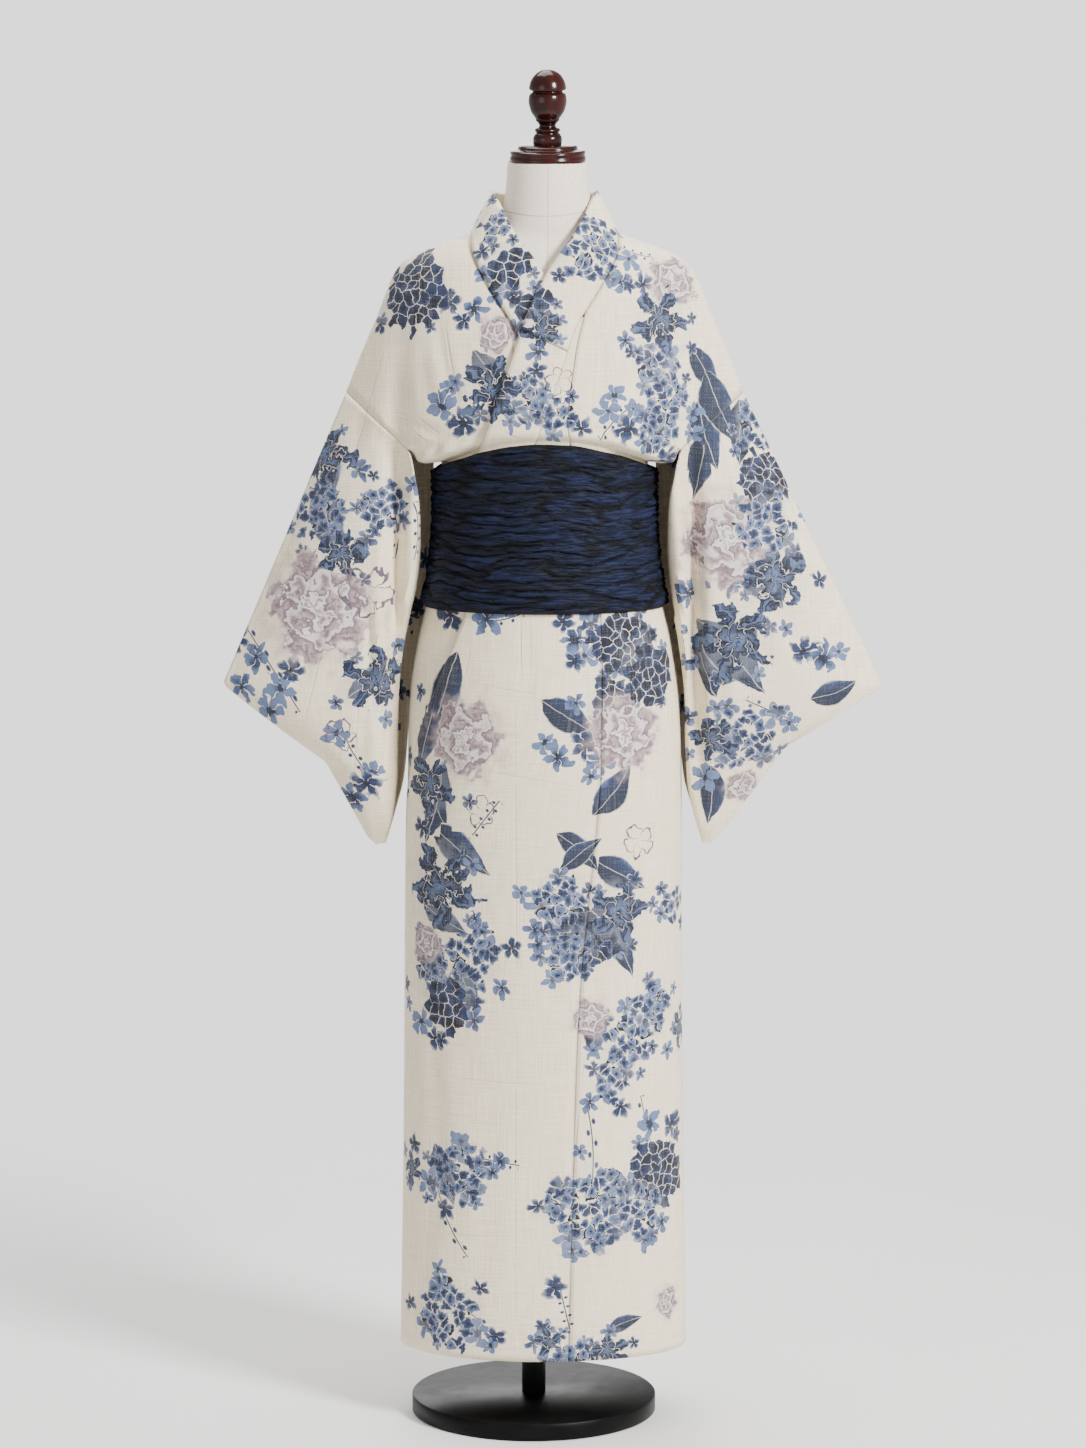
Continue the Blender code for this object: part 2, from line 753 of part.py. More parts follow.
def sleeve_sheet(face, outline, edges):
    """The front or back of a sleeve, in rows from its seam on the body to its round foot."""
    sign = -1 if face == "front" else 1
    seam = [Vector(SEAM_TOP).lerp(Vector(UNDERARM), s) for s in SEAM_SHARES]
    grid = []
    cuff_top, cuff_foot = outline[1][0], outline[2][0]
    for drop in SLEEVE_DROPS:
        along_cuff = min(1, max(0, (drop - cuff_top) / (cuff_foot - cuff_top)))
        cuff = CUFF_OPEN * math.sin(math.pi * along_cuff) if 0 < along_cuff < 1 else 0
        outer = between(outline, drop)
        inner_z = SLEEVE_FORM(drop, "inner_z")
        inner = Vector((edges(inner_z, face), inner_z))
        line = []
        for s, at_seam in zip(SEAM_SHARES, seam):
            flat = outer.lerp(inner, s) if drop else at_seam + Vector(SLEEVE_GAP)
            start = upper_depth(at_seam.x, at_seam.y, face)
            swell = SLEEVE_FORM(drop, "depth") * SLEEVE_SWELL(s, "reach")
            edge = round_fold((outer - inner).length * s)
            depth = mix(start, math.hypot(swell, edge), ease(0, 0.3, drop))
            if face == "front":
                depth -= trough(flat.x, flat.y) * ease(0.006, 0.04, depth)
            depth *= 1 - ease(0.93, 1, drop)
            depth += cuff * (1 - s) ** 5
            line.append(Vector((flat.x, SLEEVE_FORM(drop, "middle") + sign * depth, flat.y)))
        grid.append(line)
    return grid


def ring_body(name, rings, finish, parent):
    """A closed body through rings of points, with a flat face at each end."""
    bm = bmesh.new()
    loops = []
    for ring in rings:
        verts = [bm.verts.new(point) for point in ring]
        loops.append([bm.edges.new((a, b)) for a, b in zip(verts, verts[1:] + verts[:1])])
    for low, high in zip(loops, loops[1:]):
        bmesh.ops.bridge_loops(bm, edges=low + high)
    bmesh.ops.holes_fill(bm, edges=loops[0] + loops[-1], sides=0)
    return finished(name, bm, finish, parent)


def form_ring(z):
    """A ring of the dress form: an oval, with its neck a little to one side."""
    shift = FORM(z, "shift")
    ring = []
    for share in shares(FORM_SEGMENTS)[:-1]:
        turn = math.tau * share
        depth = FORM(z, "front" if math.cos(turn) > 0 else "back")
        x = shift + FORM(z, "half_width") * math.sin(turn)
        ring.append(Vector((x, -depth * math.cos(turn), z)))
    return ring


def turned(name, profile, segments, finish, parent):
    """A body turned about its own Z axis from a profile of (radius, height), foot to top."""
    bm = bmesh.new()
    verts = [bm.verts.new((radius, 0, height)) for radius, height in profile]
    edges = [bm.edges.new(pair) for pair in zip(verts, verts[1:])]
    bmesh.ops.spin(
        bm,
        geom=verts + edges,
        axis=(0, 0, 1),
        cent=(0, 0, 0),
        angle=math.tau,
        steps=segments,
        use_merge=True,
    )
    bmesh.ops.remove_doubles(bm, verts=bm.verts, dist=1e-6)
    bmesh.ops.holes_fill(bm, edges=[edge for edge in bm.edges if edge.is_boundary], sides=0)
    return finished(name, bm, finish, parent)


def crinkle(angle, row):
    """How high a sash crinkle stands at an angle, uneven along it and from row to row."""
    turn = math.radians(angle)
    wander = math.sin(3 * turn + 2.1 * row) + 0.7 * math.sin(7 * turn - 1.3 * row)
    return 0.5 + 0.29 * wander


def sash_body(name, finish, parent):
    """The wound sash: a plain inner wall, and an outer wall of uneven crinkles."""
    rows = 2 * SASH_CRINKLES
    even = [360 * share for share in shares(SASH_SEGMENTS)[:-1]]
    angles = sorted(even + [SASH_LAP_ANGLE - 0.4, SASH_LAP_ANGLE + 0.4])
    loops = {"inner": [], "outer": []}
    for face, count in (("outer", rows), ("inner", 4)):
        for row in range(count + 1):
            ring = []
            for angle in angles:
                signed = angle if angle <= 180 else angle - 360
                share = row / count
                if face == "outer" and 0 < row < rows:
                    share += SASH_WANDER * math.sin(2 * math.radians(angle) + 1.7 * row) / rows
                z = mix(SASH_BOTTOM_Z, sash_top(angle), share)
                offset = tube_lift(abs(signed), z, True) + SASH_INNER
                if face == "outer":
                    lap = ease(SASH_LAP_ANGLE - 60, SASH_LAP_ANGLE - 30, angle)
                    offset += SASH_WALL + SASH_LAP * lap * (angle < SASH_LAP_ANGLE)
                    if row % 2 == 1:
                        offset += SASH_RIDGE * crinkle(angle, row)
                ring.append(lower_point(angle, z, offset))
            loops[face].append(ring)
    rings = loops["outer"] + loops["inner"][::-1]
    bm = bmesh.new()
    made = []
    for ring in rings:
        verts = [bm.verts.new(point) for point in ring]
        made.append([bm.edges.new((a, b)) for a, b in zip(verts, verts[1:] + verts[:1])])
    for low, high in zip(made, made[1:] + made[:1]):
        bmesh.ops.bridge_loops(bm, edges=low + high)
    return finished(name, bm, finish, parent)


def main():
    for old in list(bpy.data.objects):
        bpy.data.objects.remove(old)
    form_axis = bpy.data.objects.new("form_axis", None)
    form_axis.location.x = MIDDLE_X
    bpy.context.scene.collection.objects.link(form_axis)

    cotton = material("printed_cotton", (0.83, 0.77, 0.66), 0.85)
    sash_cloth = material("navy_sash", (0.012, 0.020, 0.062), 0.6)
    canvas = material("form_canvas", (0.81, 0.73, 0.61), 0.9)
    wood = material("polished_wood", (0.09, 0.018, 0.012), 0.25)
    steel = material("satin_black", (0.012, 0.012, 0.012), 0.4)

    left = [length_sheet(face, over=True) for face in ("front", "back")]
    right = [mirrored(length_sheet(face, over=False)) for face in ("front", "back")]
    cloth_piece("body_left", left, CLOTH, cotton, form_axis)
    cloth_piece("body_right", right, CLOTH, cotton, form_axis)
    cloth_piece("okumi_left", [okumi_sheet(over=True)], CLOTH, cotton, form_axis)
    cloth_piece("okumi_right", [mirrored(okumi_sheet(over=False))], CLOTH, cotton, form_axis)

    sleeve = [sleeve_sheet(face, SLEEVE_LEFT, INNER_LEFT) for face in ("front", "back")]
    cloth_piece("sleeve_left", sleeve, CLOTH, cotton, form_axis)
    sleeve = [sleeve_sheet(face, SLEEVE_RIGHT, INNER_RIGHT) for face in ("front", "back")]
    cloth_piece("sleeve_right", [mirrored(g) for g in sleeve], CLOTH, cotton, form_axis)

    band = mirrored(band_rows(over=False))[:0:-1] + band_rows(over=True)[1:]
    cloth_piece("collar_band", [moved_out(band, BAND_OUT)], BAND, cotton, form_axis)
    covered = [row for row in band if row[0].z > OVER_BAND_END_Z]
    over_out = BAND_OUT + BAND / 2 + LAYER_GAP / 2 + OVER_BAND / 2
    cloth_piece("over_collar", [moved_out(covered, over_out)], OVER_BAND, cotton, form_axis)

    sash_body("sash", sash_cloth, form_axis)

    top = [
        Matrix.Translation((0, 0, NECK_TOP_Z))
        @ Matrix.Rotation(CAP_TILT, 4, "X")
        @ (point - Vector((0, 0, NECK_TOP_Z)))
        for point in form_ring(NECK_TOP_Z)
    ]
    ring_body("form_torso", [form_ring(z) for z in FORM_LEVELS] + [top], canvas, form_axis)

    seat = Matrix.Translation((FORM(NECK_TOP_Z, "shift"), 0, NECK_TOP_Z))
    seat = seat @ Matrix.Rotation(CAP_TILT, 4, "X")
    cap = turned("neck_cap", CAP_PROFILE, 28, wood, form_axis)
    cap.matrix_local = seat @ Matrix.Translation((0, 0, SEAM_GAP))
    finial = turned("finial", FINIAL_PROFILE, 20, wood, form_axis)
    finial.matrix_local = seat @ Matrix.Translation((0, 0, CAP_PROFILE[-1][1] + 2 * SEAM_GAP))

    turned("stand_base", BASE_PROFILE, 40, steel, None)
    pole_profile = ((POLE_RADIUS, BASE_THICK + SEAM_GAP), (POLE_RADIUS, FORM_BOTTOM_Z - SEAM_GAP))
    turned("stand_pole", pole_profile, 20, steel, None)


main()
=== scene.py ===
# %% [markdown]
# # A cotton yukata on a dress form
#
# A yukata is a light cotton robe, sewn from straight strips of cloth about 37 cm wide. Here
# it is wrapped left over right on a limbless dress form, with a wide crinkled sash wound
# round the waist. This notebook makes each strip of cloth again, finer than the packed
# solids, draws its printed flowers in the material, and lights it in a pale studio.

import math

import bmesh
import bpy
import numpy as np
from mathutils import Matrix, Vector, noise


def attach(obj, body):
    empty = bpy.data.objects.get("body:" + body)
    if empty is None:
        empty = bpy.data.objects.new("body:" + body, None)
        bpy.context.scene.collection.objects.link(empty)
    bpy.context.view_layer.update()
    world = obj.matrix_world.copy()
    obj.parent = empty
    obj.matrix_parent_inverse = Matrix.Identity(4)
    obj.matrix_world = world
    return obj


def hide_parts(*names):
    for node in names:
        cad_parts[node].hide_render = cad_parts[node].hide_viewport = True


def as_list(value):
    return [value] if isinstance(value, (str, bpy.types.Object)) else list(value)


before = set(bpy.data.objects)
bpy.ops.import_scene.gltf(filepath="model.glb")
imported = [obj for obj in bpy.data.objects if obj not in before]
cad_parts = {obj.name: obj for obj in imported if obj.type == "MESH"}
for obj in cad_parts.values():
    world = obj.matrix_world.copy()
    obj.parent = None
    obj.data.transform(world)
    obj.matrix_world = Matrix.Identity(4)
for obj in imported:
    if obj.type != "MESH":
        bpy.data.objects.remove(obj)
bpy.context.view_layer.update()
print("solids:", len(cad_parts))

# %% [markdown]
# The camera stands 5.7 m away, a little above the robe's shoulders, and looks down by about
# eight degrees, so the stand's round base shows as a flat oval. A long lens keeps the
# sleeves and the hem nearly without perspective, as in a catalogue picture.

# %% The camera, the soft lights and the pale room
scene = bpy.context.scene
camera = bpy.data.objects.new("camera", bpy.data.cameras.new("camera"))
camera.location = (0.011, -5.7, 1.60)
camera.rotation_euler = (math.radians(82.22), 0, 0)
camera.data.lens = 122.5
camera.data.sensor_width = 36
scene.collection.objects.link(camera)
scene.camera = camera


def soft_light(name, place, aim, size, power):
    """A large square light at a place, turned to what it lights."""
    lamp = bpy.data.lights.new(name, "AREA")
    lamp.size = size
    lamp.energy = power
    holder = bpy.data.objects.new(name, lamp)
    holder.location = place
    turn = (Vector(aim) - Vector(place)).to_track_quat("-Z", "Y")
    holder.rotation_euler = turn.to_euler()
    scene.collection.objects.link(holder)


soft_light("window_light", (2.8, -2.8, 3.1), (0, 0, 1.25), 1.0, 440)
soft_light("fill_light", (-2.6, -3.8, 1.8), (0, 0, 0.9), 2.4, 30)
soft_light("top_light", (-0.3, 0.5, 3.4), (0, 0, 1.0), 1.8, 80)
soft_light("back_light", (-0.6, 3.4, 2.0), (0, 0, 0.9), 2.6, 80)

# The room lights the robe more from low down than from above. The camera sees it evenly
# bright, so that it has no horizon.
world = bpy.data.worlds.new("pale_room")
world.use_nodes = True
room = world.node_tree.nodes
low_walls = room.new("ShaderNodeTexCoord")
height = room.new("ShaderNodeSeparateXYZ")
glow = room.new("ShaderNodeMapRange")
for socket, value in (("From Min", 0.03), ("From Max", 0.28), ("To Min", 1.0), ("To Max", 0.52)):
    glow.inputs[socket].default_value = value
world.node_tree.links.new(low_walls.outputs["Generated"], height.inputs[0])
world.node_tree.links.new(height.outputs["Z"], glow.inputs["Value"])
seen = room.new("ShaderNodeLightPath")
strength = room.new("ShaderNodeMix")
strength.inputs["B"].default_value = 1.95
world.node_tree.links.new(seen.outputs["Is Camera Ray"], strength.inputs["Factor"])
world.node_tree.links.new(glow.outputs["Result"], strength.inputs["A"])
world.node_tree.links.new(strength.outputs["Result"], room["Background"].inputs["Strength"])
room["Background"].inputs["Color"].default_value = (0.95, 0.94, 0.94, 1)
scene.world = world

# %% [markdown]
# The robe's cloth follows one surface. Above the sash each height has a lens-shaped ring,
# whose two ends lie on the fold that runs over the shoulder. Below, the cloth is a tube.
# These are the sizes that the solids were made from, so every new piece lands on its solid.

# %% Sizes of the robe, the sash and the stand
HEM_Z = 0.085
CLOTH = 0.0015
BAND = 0.0022
OVER_BAND = 0.0014
SEAM_GAP = 0.00008
LAYER_GAP = 0.0010
FOLD_RADIUS = 0.0028
ON_FOLD = 2e-6
SASH_WALL = 0.0032
SASH_BOTTOM_Z = 0.962
SASH_TOP_FRONT_Z = 1.157
SASH_TOP_SIDE_Z = 1.122
SASH_TOP_BACK_Z = 1.138
SASH_LAP = 0.0030

# Driving sizes of the dress form and its stand.
MIDDLE_X = 0.013
BASE_RADIUS = 0.1445
BASE_THICK = 0.021
BASE_BEVEL = 0.0015
POLE_RADIUS = 0.014
FORM_BOTTOM_Z = 0.76
NECK_TOP_Z = 1.474
CAP_TILT = math.radians(5)


class Table:
    """Rows with named columns, read between the rows as a smooth curve of the first column."""

    def __init__(self, columns, *rows):
        self.columns = columns
        self.rows = sorted(rows)

    def __call__(self, key, column):
        rows = self.rows
        index = self.columns.index(column)
        if key <= rows[0][0]:
            return rows[0][index]
        if key >= rows[-1][0]:
            return rows[-1][index]
        low = max(i for i, row in enumerate(rows) if row[0] <= key)

        def slope(i):
            before, after = max(i - 1, 0), min(i + 1, len(rows) - 1)
            rise = rows[after][index] - rows[before][index]
            return rise / (rows[after][0] - rows[before][0])

        span = rows[low + 1][0] - rows[low][0]
        t = (key - rows[low][0]) / span
        start, end = rows[low][index], rows[low + 1][index]
        a, b = slope(low) * span, slope(low + 1) * span
        rise = end * t * t * (3 - 2 * t) + start * (1 + 2 * t) * (1 - t) ** 2
        return rise + a * t * (1 - t) ** 2 - b * t * t * (1 - t)


def mix(a, b, t):
    return a + (b - a) * t


def ease(low, high, value):
    """0 below low, 1 above high, and a soft step between."""
    t = min(1, max(0, (value - low) / (high - low)))
    return t * t * (3 - 2 * t)


def shares(count):
    """count + 1 even shares from 0 to 1."""
    return [i / count for i in range(count + 1)]

# %% Tables of the robe's rings and seams
# The lens-shaped rings of the upper robe. half_width is where the shoulder fold passes that
# height, and point is how sharply the ring closes there: 1 is round, 2 and over is pressed.
UPPER = Table(
    ("z", "half_width", "front", "back", "point"),
    (1.130, 0.2620, 0.115, 0.110, 2.4),
    (1.150, 0.2540, 0.117, 0.112, 2.3),
    (1.180, 0.2410, 0.117, 0.114, 2.1),
    (1.209, 0.2290, 0.114, 0.115, 1.9),
    (1.250, 0.2130, 0.106, 0.113, 1.6),
    (1.300, 0.1915, 0.092, 0.107, 1.35),
    (1.330, 0.1800, 0.081, 0.100, 1.2),
    (1.358, 0.1640, 0.069, 0.092, 1.1),
    (1.372, 0.1380, 0.062, 0.086, 1.05),
    (1.385, 0.1030, 0.054, 0.080, 1.0),
    (1.391, 0.0830, 0.050, 0.076, 1.0),
    (1.397, 0.0600, 0.046, 0.070, 1.0),
)

# The rings of the tube that the robe makes under the sash and down to its hem.
LOWER = Table(
    ("z", "half_width", "front", "back"),
    (HEM_Z, 0.1670, 0.104, 0.106),
    (0.312, 0.1630, 0.108, 0.109),
    (0.612, 0.1600, 0.112, 0.113),
    (0.780, 0.1590, 0.115, 0.117),
    (0.860, 0.1560, 0.115, 0.117),
    (0.920, 0.1470, 0.110, 0.113),
    (0.963, 0.1370, 0.105, 0.108),
    (1.005, 0.1285, 0.102, 0.104),
    (1.045, 0.1240, 0.101, 0.103),
    (1.085, 0.1230, 0.102, 0.103),
    (1.124, 0.1235, 0.104, 0.104),
    (1.160, 0.1260, 0.107, 0.106),
)

# The wearer's left front, seen from the front: the seam of the collar band and, across
# the band, its free edge. The right front mirrors it underneath.
BAND_SEAM = Table(
    ("z", "x", "edge_x", "edge_z"),
    (1.066, -0.0405, -0.0945, 1.0830),
    (1.100, -0.0310, -0.0850, 1.1170),
    (1.1445, -0.0160, -0.0700, 1.1620),
    (1.184, -0.0010, -0.0555, 1.2025),
    (1.218, 0.0115, -0.0427, 1.2390),
    (1.253, 0.0230, -0.0300, 1.2755),
    (1.2915, 0.0370, -0.0115, 1.3230),
    (1.332, 0.0624, 0.0102, 1.3630),
    (1.3695, 0.0820, 0.0358, 1.3980),
    (1.391, 0.0830, 0.0575, 1.4390),
)
BAND_END_Z = 1.066
OKUMI_TOP_Z = 1.305
OKUMI_SEAM = Table(
    ("z", "x"),
    (HEM_Z, 0.0270),
    (0.186, 0.0290),
    (0.350, 0.0330),
    (0.516, 0.0390),
    (0.650, 0.0510),
    (0.740, 0.0590),
    (0.796, 0.0620),
    (0.969, 0.0610),
    (1.060, 0.0450),
    (1.120, 0.0300),
    (1.168, 0.0245),
    (1.212, 0.0280),
    (1.271, 0.0365),
    (1.305, 0.0455),
)

# The free edges of the overlap below the band's end, as angles round the tube.
WRAP = Table(
    ("z", "over", "under"),
    (HEM_Z, -86.0, 62.0),
    (0.516, -85.5, 62.0),
    (0.650, -84.0, 62.0),
    (0.740, -79.0, 62.0),
    (0.796, -68.0, 61.0),
    (0.828, -61.0, 60.0),
    (0.900, -48.0, 57.0),
    (0.969, -39.5, 52.0),
    (1.003, -37.0, 44.0),
    (1.045, -27.0, 28.0),
    (1.0654, -20.5, 20.5),
)
SIDE_ANGLE = 88.0

# Where the side edges of front and back run above the side seam, beside the arm's slit.
SLIT = Table(
    ("z", "angle"),
    (1.000, 88.0),
    (1.045, 85.0),
    (1.085, 76.0),
    (1.124, 66.0),
    (1.160, 62.0),
)

# The sleeve seam runs from the shoulder fold to the underarm.
NECK_SIDE = (0.083, 1.391)
NECK_BACK_Z = 1.378
SEAM_TOP = (0.2290, 1.209)
UNDERARM = (0.1580, 1.148)
CHEST_FOOT_Z = {"front": 1.181, "back": 1.165}

# The soft trough in front of each arm, from the shoulder down to the sleeve's inner edge.
TROUGH = Table(
    ("z", "x", "depth", "width"),
    (0.700, 0.180, 0.002, 0.010),
    (0.800, 0.177, 0.014, 0.011),
    (0.950, 0.173, 0.024, 0.010),
    (1.080, 0.170, 0.022, 0.011),
    (1.160, 0.168, 0.012, 0.013),
    (1.230, 0.166, 0.006, 0.014),
    (1.310, 0.160, 0.000, 0.015),
)

# The cloth's mouth into the sash: how far above its edge it clears it, and its bulge there.
SASH_MOUTH_Z = 1.142
SASH_CLEAR = 0.0035

# The collar band: how thick it lies on the panels, its rows below the chest's, its bow, and
# where its free edge stands round the neck. The loose cover ends on the chest.
BAND_OUT = (BAND - CLOTH) / 2
BAND_BOW = 0.0006
BAND_SIDE_TOP = (0.0575, 1.439)
BAND_BACK_TOP_Z = 1.428
BAND_BACK_Y = 0.066
CROSSING_Z = 1.344
OVER_BAND_END_Z = 1.262

# %% Tables of the sleeves
# Each sleeve's outer outline: down the fold to the cuff, across its open edge, then along
# its seamed edge to the round foot. The shares are how far down the sleeve each point is.
SLEEVE_DROPS = shares(84)
SLEEVE_LEFT = (
    (0, 0.2290, 1.209),
    (0.60, 0.3940, 0.868),
    (0.80, 0.2820, 0.797),
    (0.97, 0.2020, 0.690),
    (1.0, 0.1930, 0.682),
)
SLEEVE_RIGHT = (
    (0, 0.2290, 1.209),
    (0.60, 0.3745, 0.869),
    (0.80, 0.2550, 0.778),
    (0.97, 0.2060, 0.689),
    (1.0, 0.1965, 0.681),
)
CUFF_OPEN = 0.010
SLEEVE_GAP = (0.00033, -0.00038)
SLEEVE_FORM = Table(
    ("drop", "inner_z", "depth", "middle"),
    (0, 1.148, 0.056, 0.0),
    (0.30, 1.000, 0.050, 0.0),
    (0.60, 0.850, 0.040, -0.004),
    (0.67, 0.815, 0.037, -0.005),
    (0.74, 0.785, 0.032, -0.006),
    (0.80, 0.760, 0.028, -0.007),
    (0.93, 0.708, 0.014, -0.008),
    (0.97, 0.692, 0.010, -0.008),
    (1.0, 0.683, 0.008, -0.008),
)
SLEEVE_SWELL = Table(
    ("share", "reach"),
    (0.0, 0.0),
    (0.12, 0.42),
    (0.34, 0.84),
    (0.58, 1.0),
    (0.83, 1.08),
    (0.95, 0.95),
    (1.0, 0.62),
)
INNER_LEFT = Table(
    ("z", "front", "back"),
    (0.683, 0.1850, 0.1850),
    (0.720, 0.1740, 0.1740),
    (0.760, 0.1660, 0.1630),
    (0.850, 0.1625, 0.1560),
    (0.900, 0.1580, 0.1480),
    (0.950, 0.1520, 0.1380),
    (0.990, 0.1450, 0.1365),
    (1.030, 0.1420, 0.1330),
    (1.090, 0.1440, 0.1300),
    (1.122, 0.1500, 0.1300),
    (1.140, 0.1540, 0.1300),
    (1.148, 0.1580, 0.1580),
)
INNER_RIGHT = Table(
    ("z", "front", "back"),
    (0.683, 0.1860, 0.1860),
    (0.720, 0.1770, 0.1750),
    (0.760, 0.1720, 0.1650),
    (0.850, 0.1700, 0.1570),
    (0.900, 0.1660, 0.1480),
    (0.950, 0.1570, 0.1380),
    (0.990, 0.1480, 0.1365),
    (1.030, 0.1440, 0.1330),
    (1.090, 0.1450, 0.1300),
    (1.122, 0.1500, 0.1300),
    (1.140, 0.1540, 0.1300),
    (1.148, 0.1580, 0.1580),
)

# %% Tables of the sash, the dress form and the turned pieces
# How far the sash's inner face stands off the cloth's middle surface, and the angle at
# which its outer end stops.
SASH_INNER = 0.0028
SASH_LAP_ANGLE = 205

# The sash's relief: its height, how far its furrows lie below the plain surface, how deep
# the soft edges are, and how unevenly the top edge runs.
CRINKLE_HEIGHT = 0.0056
CRINKLE_INSET = 0.0020
SASH_TUCK = 0.004
SASH_EDGE_WAVE = 0.0012

# The dress form's rings. Its shoulders carry the robe.
FORM = Table(
    ("z", "half_width", "front", "back", "shift"),
    (0.760, 0.1380, 0.0900, 0.0940, 0.0),
    (0.768, 0.1440, 0.0970, 0.1010, 0.0),
    (0.860, 0.1450, 0.1030, 0.1060, 0.0),
    (0.930, 0.1350, 0.0990, 0.1020, 0.0),
    (1.000, 0.1200, 0.0920, 0.0950, 0.0),
    (1.050, 0.1160, 0.0900, 0.0930, 0.0),
    (1.120, 0.1180, 0.0950, 0.0960, 0.0),
    (1.200, 0.1460, 0.1020, 0.1050, 0.0),
    (1.270, 0.1640, 0.0950, 0.1030, 0.0),
    (1.320, 0.1680, 0.0800, 0.0950, 0.0),
    (1.345, 0.1640, 0.0710, 0.0900, 0.0),
    (1.360, 0.1520, 0.0650, 0.0860, 0.0),
    (1.373, 0.1285, 0.0590, 0.0815, 0.0),
    (1.384, 0.0980, 0.0535, 0.0740, 0.001),
    (1.392, 0.0720, 0.0510, 0.0660, 0.0015),
    (1.402, 0.0560, 0.0510, 0.0580, 0.002),
    (1.430, 0.0495, 0.0495, 0.0495, 0.003),
    (NECK_TOP_Z, 0.0455, 0.0455, 0.0455, 0.003),
)

# Turned profiles as (radius, height) above each piece's own foot.
BASE_PROFILE = (
    (BASE_RADIUS - BASE_BEVEL, 0),
    (BASE_RADIUS, BASE_BEVEL),
    (BASE_RADIUS, BASE_THICK - BASE_BEVEL),
    (BASE_RADIUS - BASE_BEVEL, BASE_THICK),
)
CAP_PROFILE = (
    (0.0425, 0.0),
    (0.0440, 0.0015),
    (0.0444, 0.0045),
    (0.0432, 0.0075),
    (0.0438, 0.0100),
    (0.0428, 0.0130),
    (0.0352, 0.0148),
    (0.0345, 0.0172),
    (0.0325, 0.0190),
)
FINIAL_PROFILE = (
    (0.0162, 0.0000),
    (0.0168, 0.0029),
    (0.0168, 0.0082),
    (0.0150, 0.0121),
    (0.0132, 0.0140),
    (0.0148, 0.0164),
    (0.0140, 0.0189),
    (0.0102, 0.0208),
    (0.0098, 0.0232),
    (0.0125, 0.0266),
    (0.0143, 0.0285),
    (0.0140, 0.0300),
    (0.0195, 0.0382),
    (0.0220, 0.0469),
    (0.0222, 0.0527),
    (0.0208, 0.0585),
    (0.0180, 0.0604),
    (0.0178, 0.0619),
    (0.0212, 0.0633),
    (0.0217, 0.0658),
    (0.0196, 0.0735),
    (0.0148, 0.0807),
    (0.0080, 0.0851),
    (0.0025, 0.0864),
)


# How fine the new sheets are: shares down the sleeve seam, and columns along the fold.
SEAM_SHARES = sorted({0.004, 0.010, 0.018} | {(i / 40) ** 1.15 for i in range(41)})
NECK_COLUMNS = 14
FOLD_COLUMNS = 28
BAND_COLUMNS = 10

# %% The surface that the cloth follows
def fold_height(x):
    """The height at which the shoulder fold passes x."""
    low, high = UPPER.rows[0][0], UPPER.rows[-1][0]
    for _ in range(40):
        middle = (low + high) / 2
        if UPPER(middle, "half_width") > x:
            low = middle
        else:
            high = middle
    return (low + high) / 2


def trough(x, z):
    away = (abs(x) - TROUGH(z, "x")) / TROUGH(z, "width")
    return TROUGH(z, "depth") * math.exp(-away * away)


def round_fold(inset):
    """Half the thickness of a folded edge, at a distance in from it."""
    t = min(max(inset, 0), FOLD_RADIUS)
    return math.sqrt(2 * FOLD_RADIUS * t - t * t)


def upper_depth(x, z, face):
    half = UPPER(z, "half_width")
    if half - abs(x) < ON_FOLD:
        return 0.0
    share = abs(x) / half
    lens = UPPER(z, face) * (1 - share * share) ** (UPPER(z, "point") / 2)
    return math.hypot(lens, round_fold(half - abs(x)))


def upper_point(x, z, face, lift=0.0):
    """The upper cloth at x and z, on its front or back face."""
    depth = upper_depth(x, z, face)
    if face == "back":
        return Vector((x, depth, z))
    inward = trough(x, z) * ease(0, 0.04, depth)
    return Vector((x, inward - depth - lift * ease(0, 0.03, depth), z))


def lower_point(angle, z, lift=0.0):
    """The tube at an angle in degrees: 0 in front, 90 on the wearer's left, 180 behind."""
    turn = math.radians(angle)
    face = "front" if math.cos(turn) > 0 else "back"
    across = (LOWER(z, "half_width") + lift) * math.sin(turn)
    return Vector((across, -(LOWER(z, face) + lift) * math.cos(turn), z))


def angle_at(x, z, lift=0.0):
    """The tube's angle where its front passes x."""
    return math.degrees(math.asin(x / (LOWER(z, "half_width") + lift)))


def gap_angle(z):
    """Half a seam's gap as an angle of the tube, in front."""
    return math.degrees(SEAM_GAP / 2 / LOWER(z, "front"))


def sash_top(angle):
    """The height of the sash's top edge at an angle of the tube."""
    turn = math.radians(angle)
    end = SASH_TOP_FRONT_Z if math.cos(turn) > 0 else SASH_TOP_BACK_Z
    return mix(SASH_TOP_SIDE_Z, end, math.cos(turn) ** 2)


def over_full(z):
    """How far the left front stands off the right front: it clears the band on the chest."""
    chest = BAND + OVER_BAND + 2 * LAYER_GAP
    skirt = CLOTH + 2 * LAYER_GAP
    return mix(skirt, chest, ease(0.98, 1.10, z)) * (1 - ease(1.350, 1.386, z))


def chest_lift(x, z, over):
    return over_full(z) * (1 - ease(0.080, 0.135, x)) if over else 0.0


def tube_lift(angle, z, over):
    return over_full(z) * (1 - ease(62, 87, angle)) if over else 0.0


def inner_edge(z):
    """The front's inner edge: along the band, then along the okumi."""
    return BAND_SEAM(z, "x") if z >= OKUMI_TOP_Z else OKUMI_SEAM(z, "x")


def chest_levels():
    """Heights of the rows at the front's inner edge, from the neck to above the sash."""
    return [mix(NECK_SIDE[1], CHEST_FOOT_Z["front"], share) for share in SEAM_SHARES]


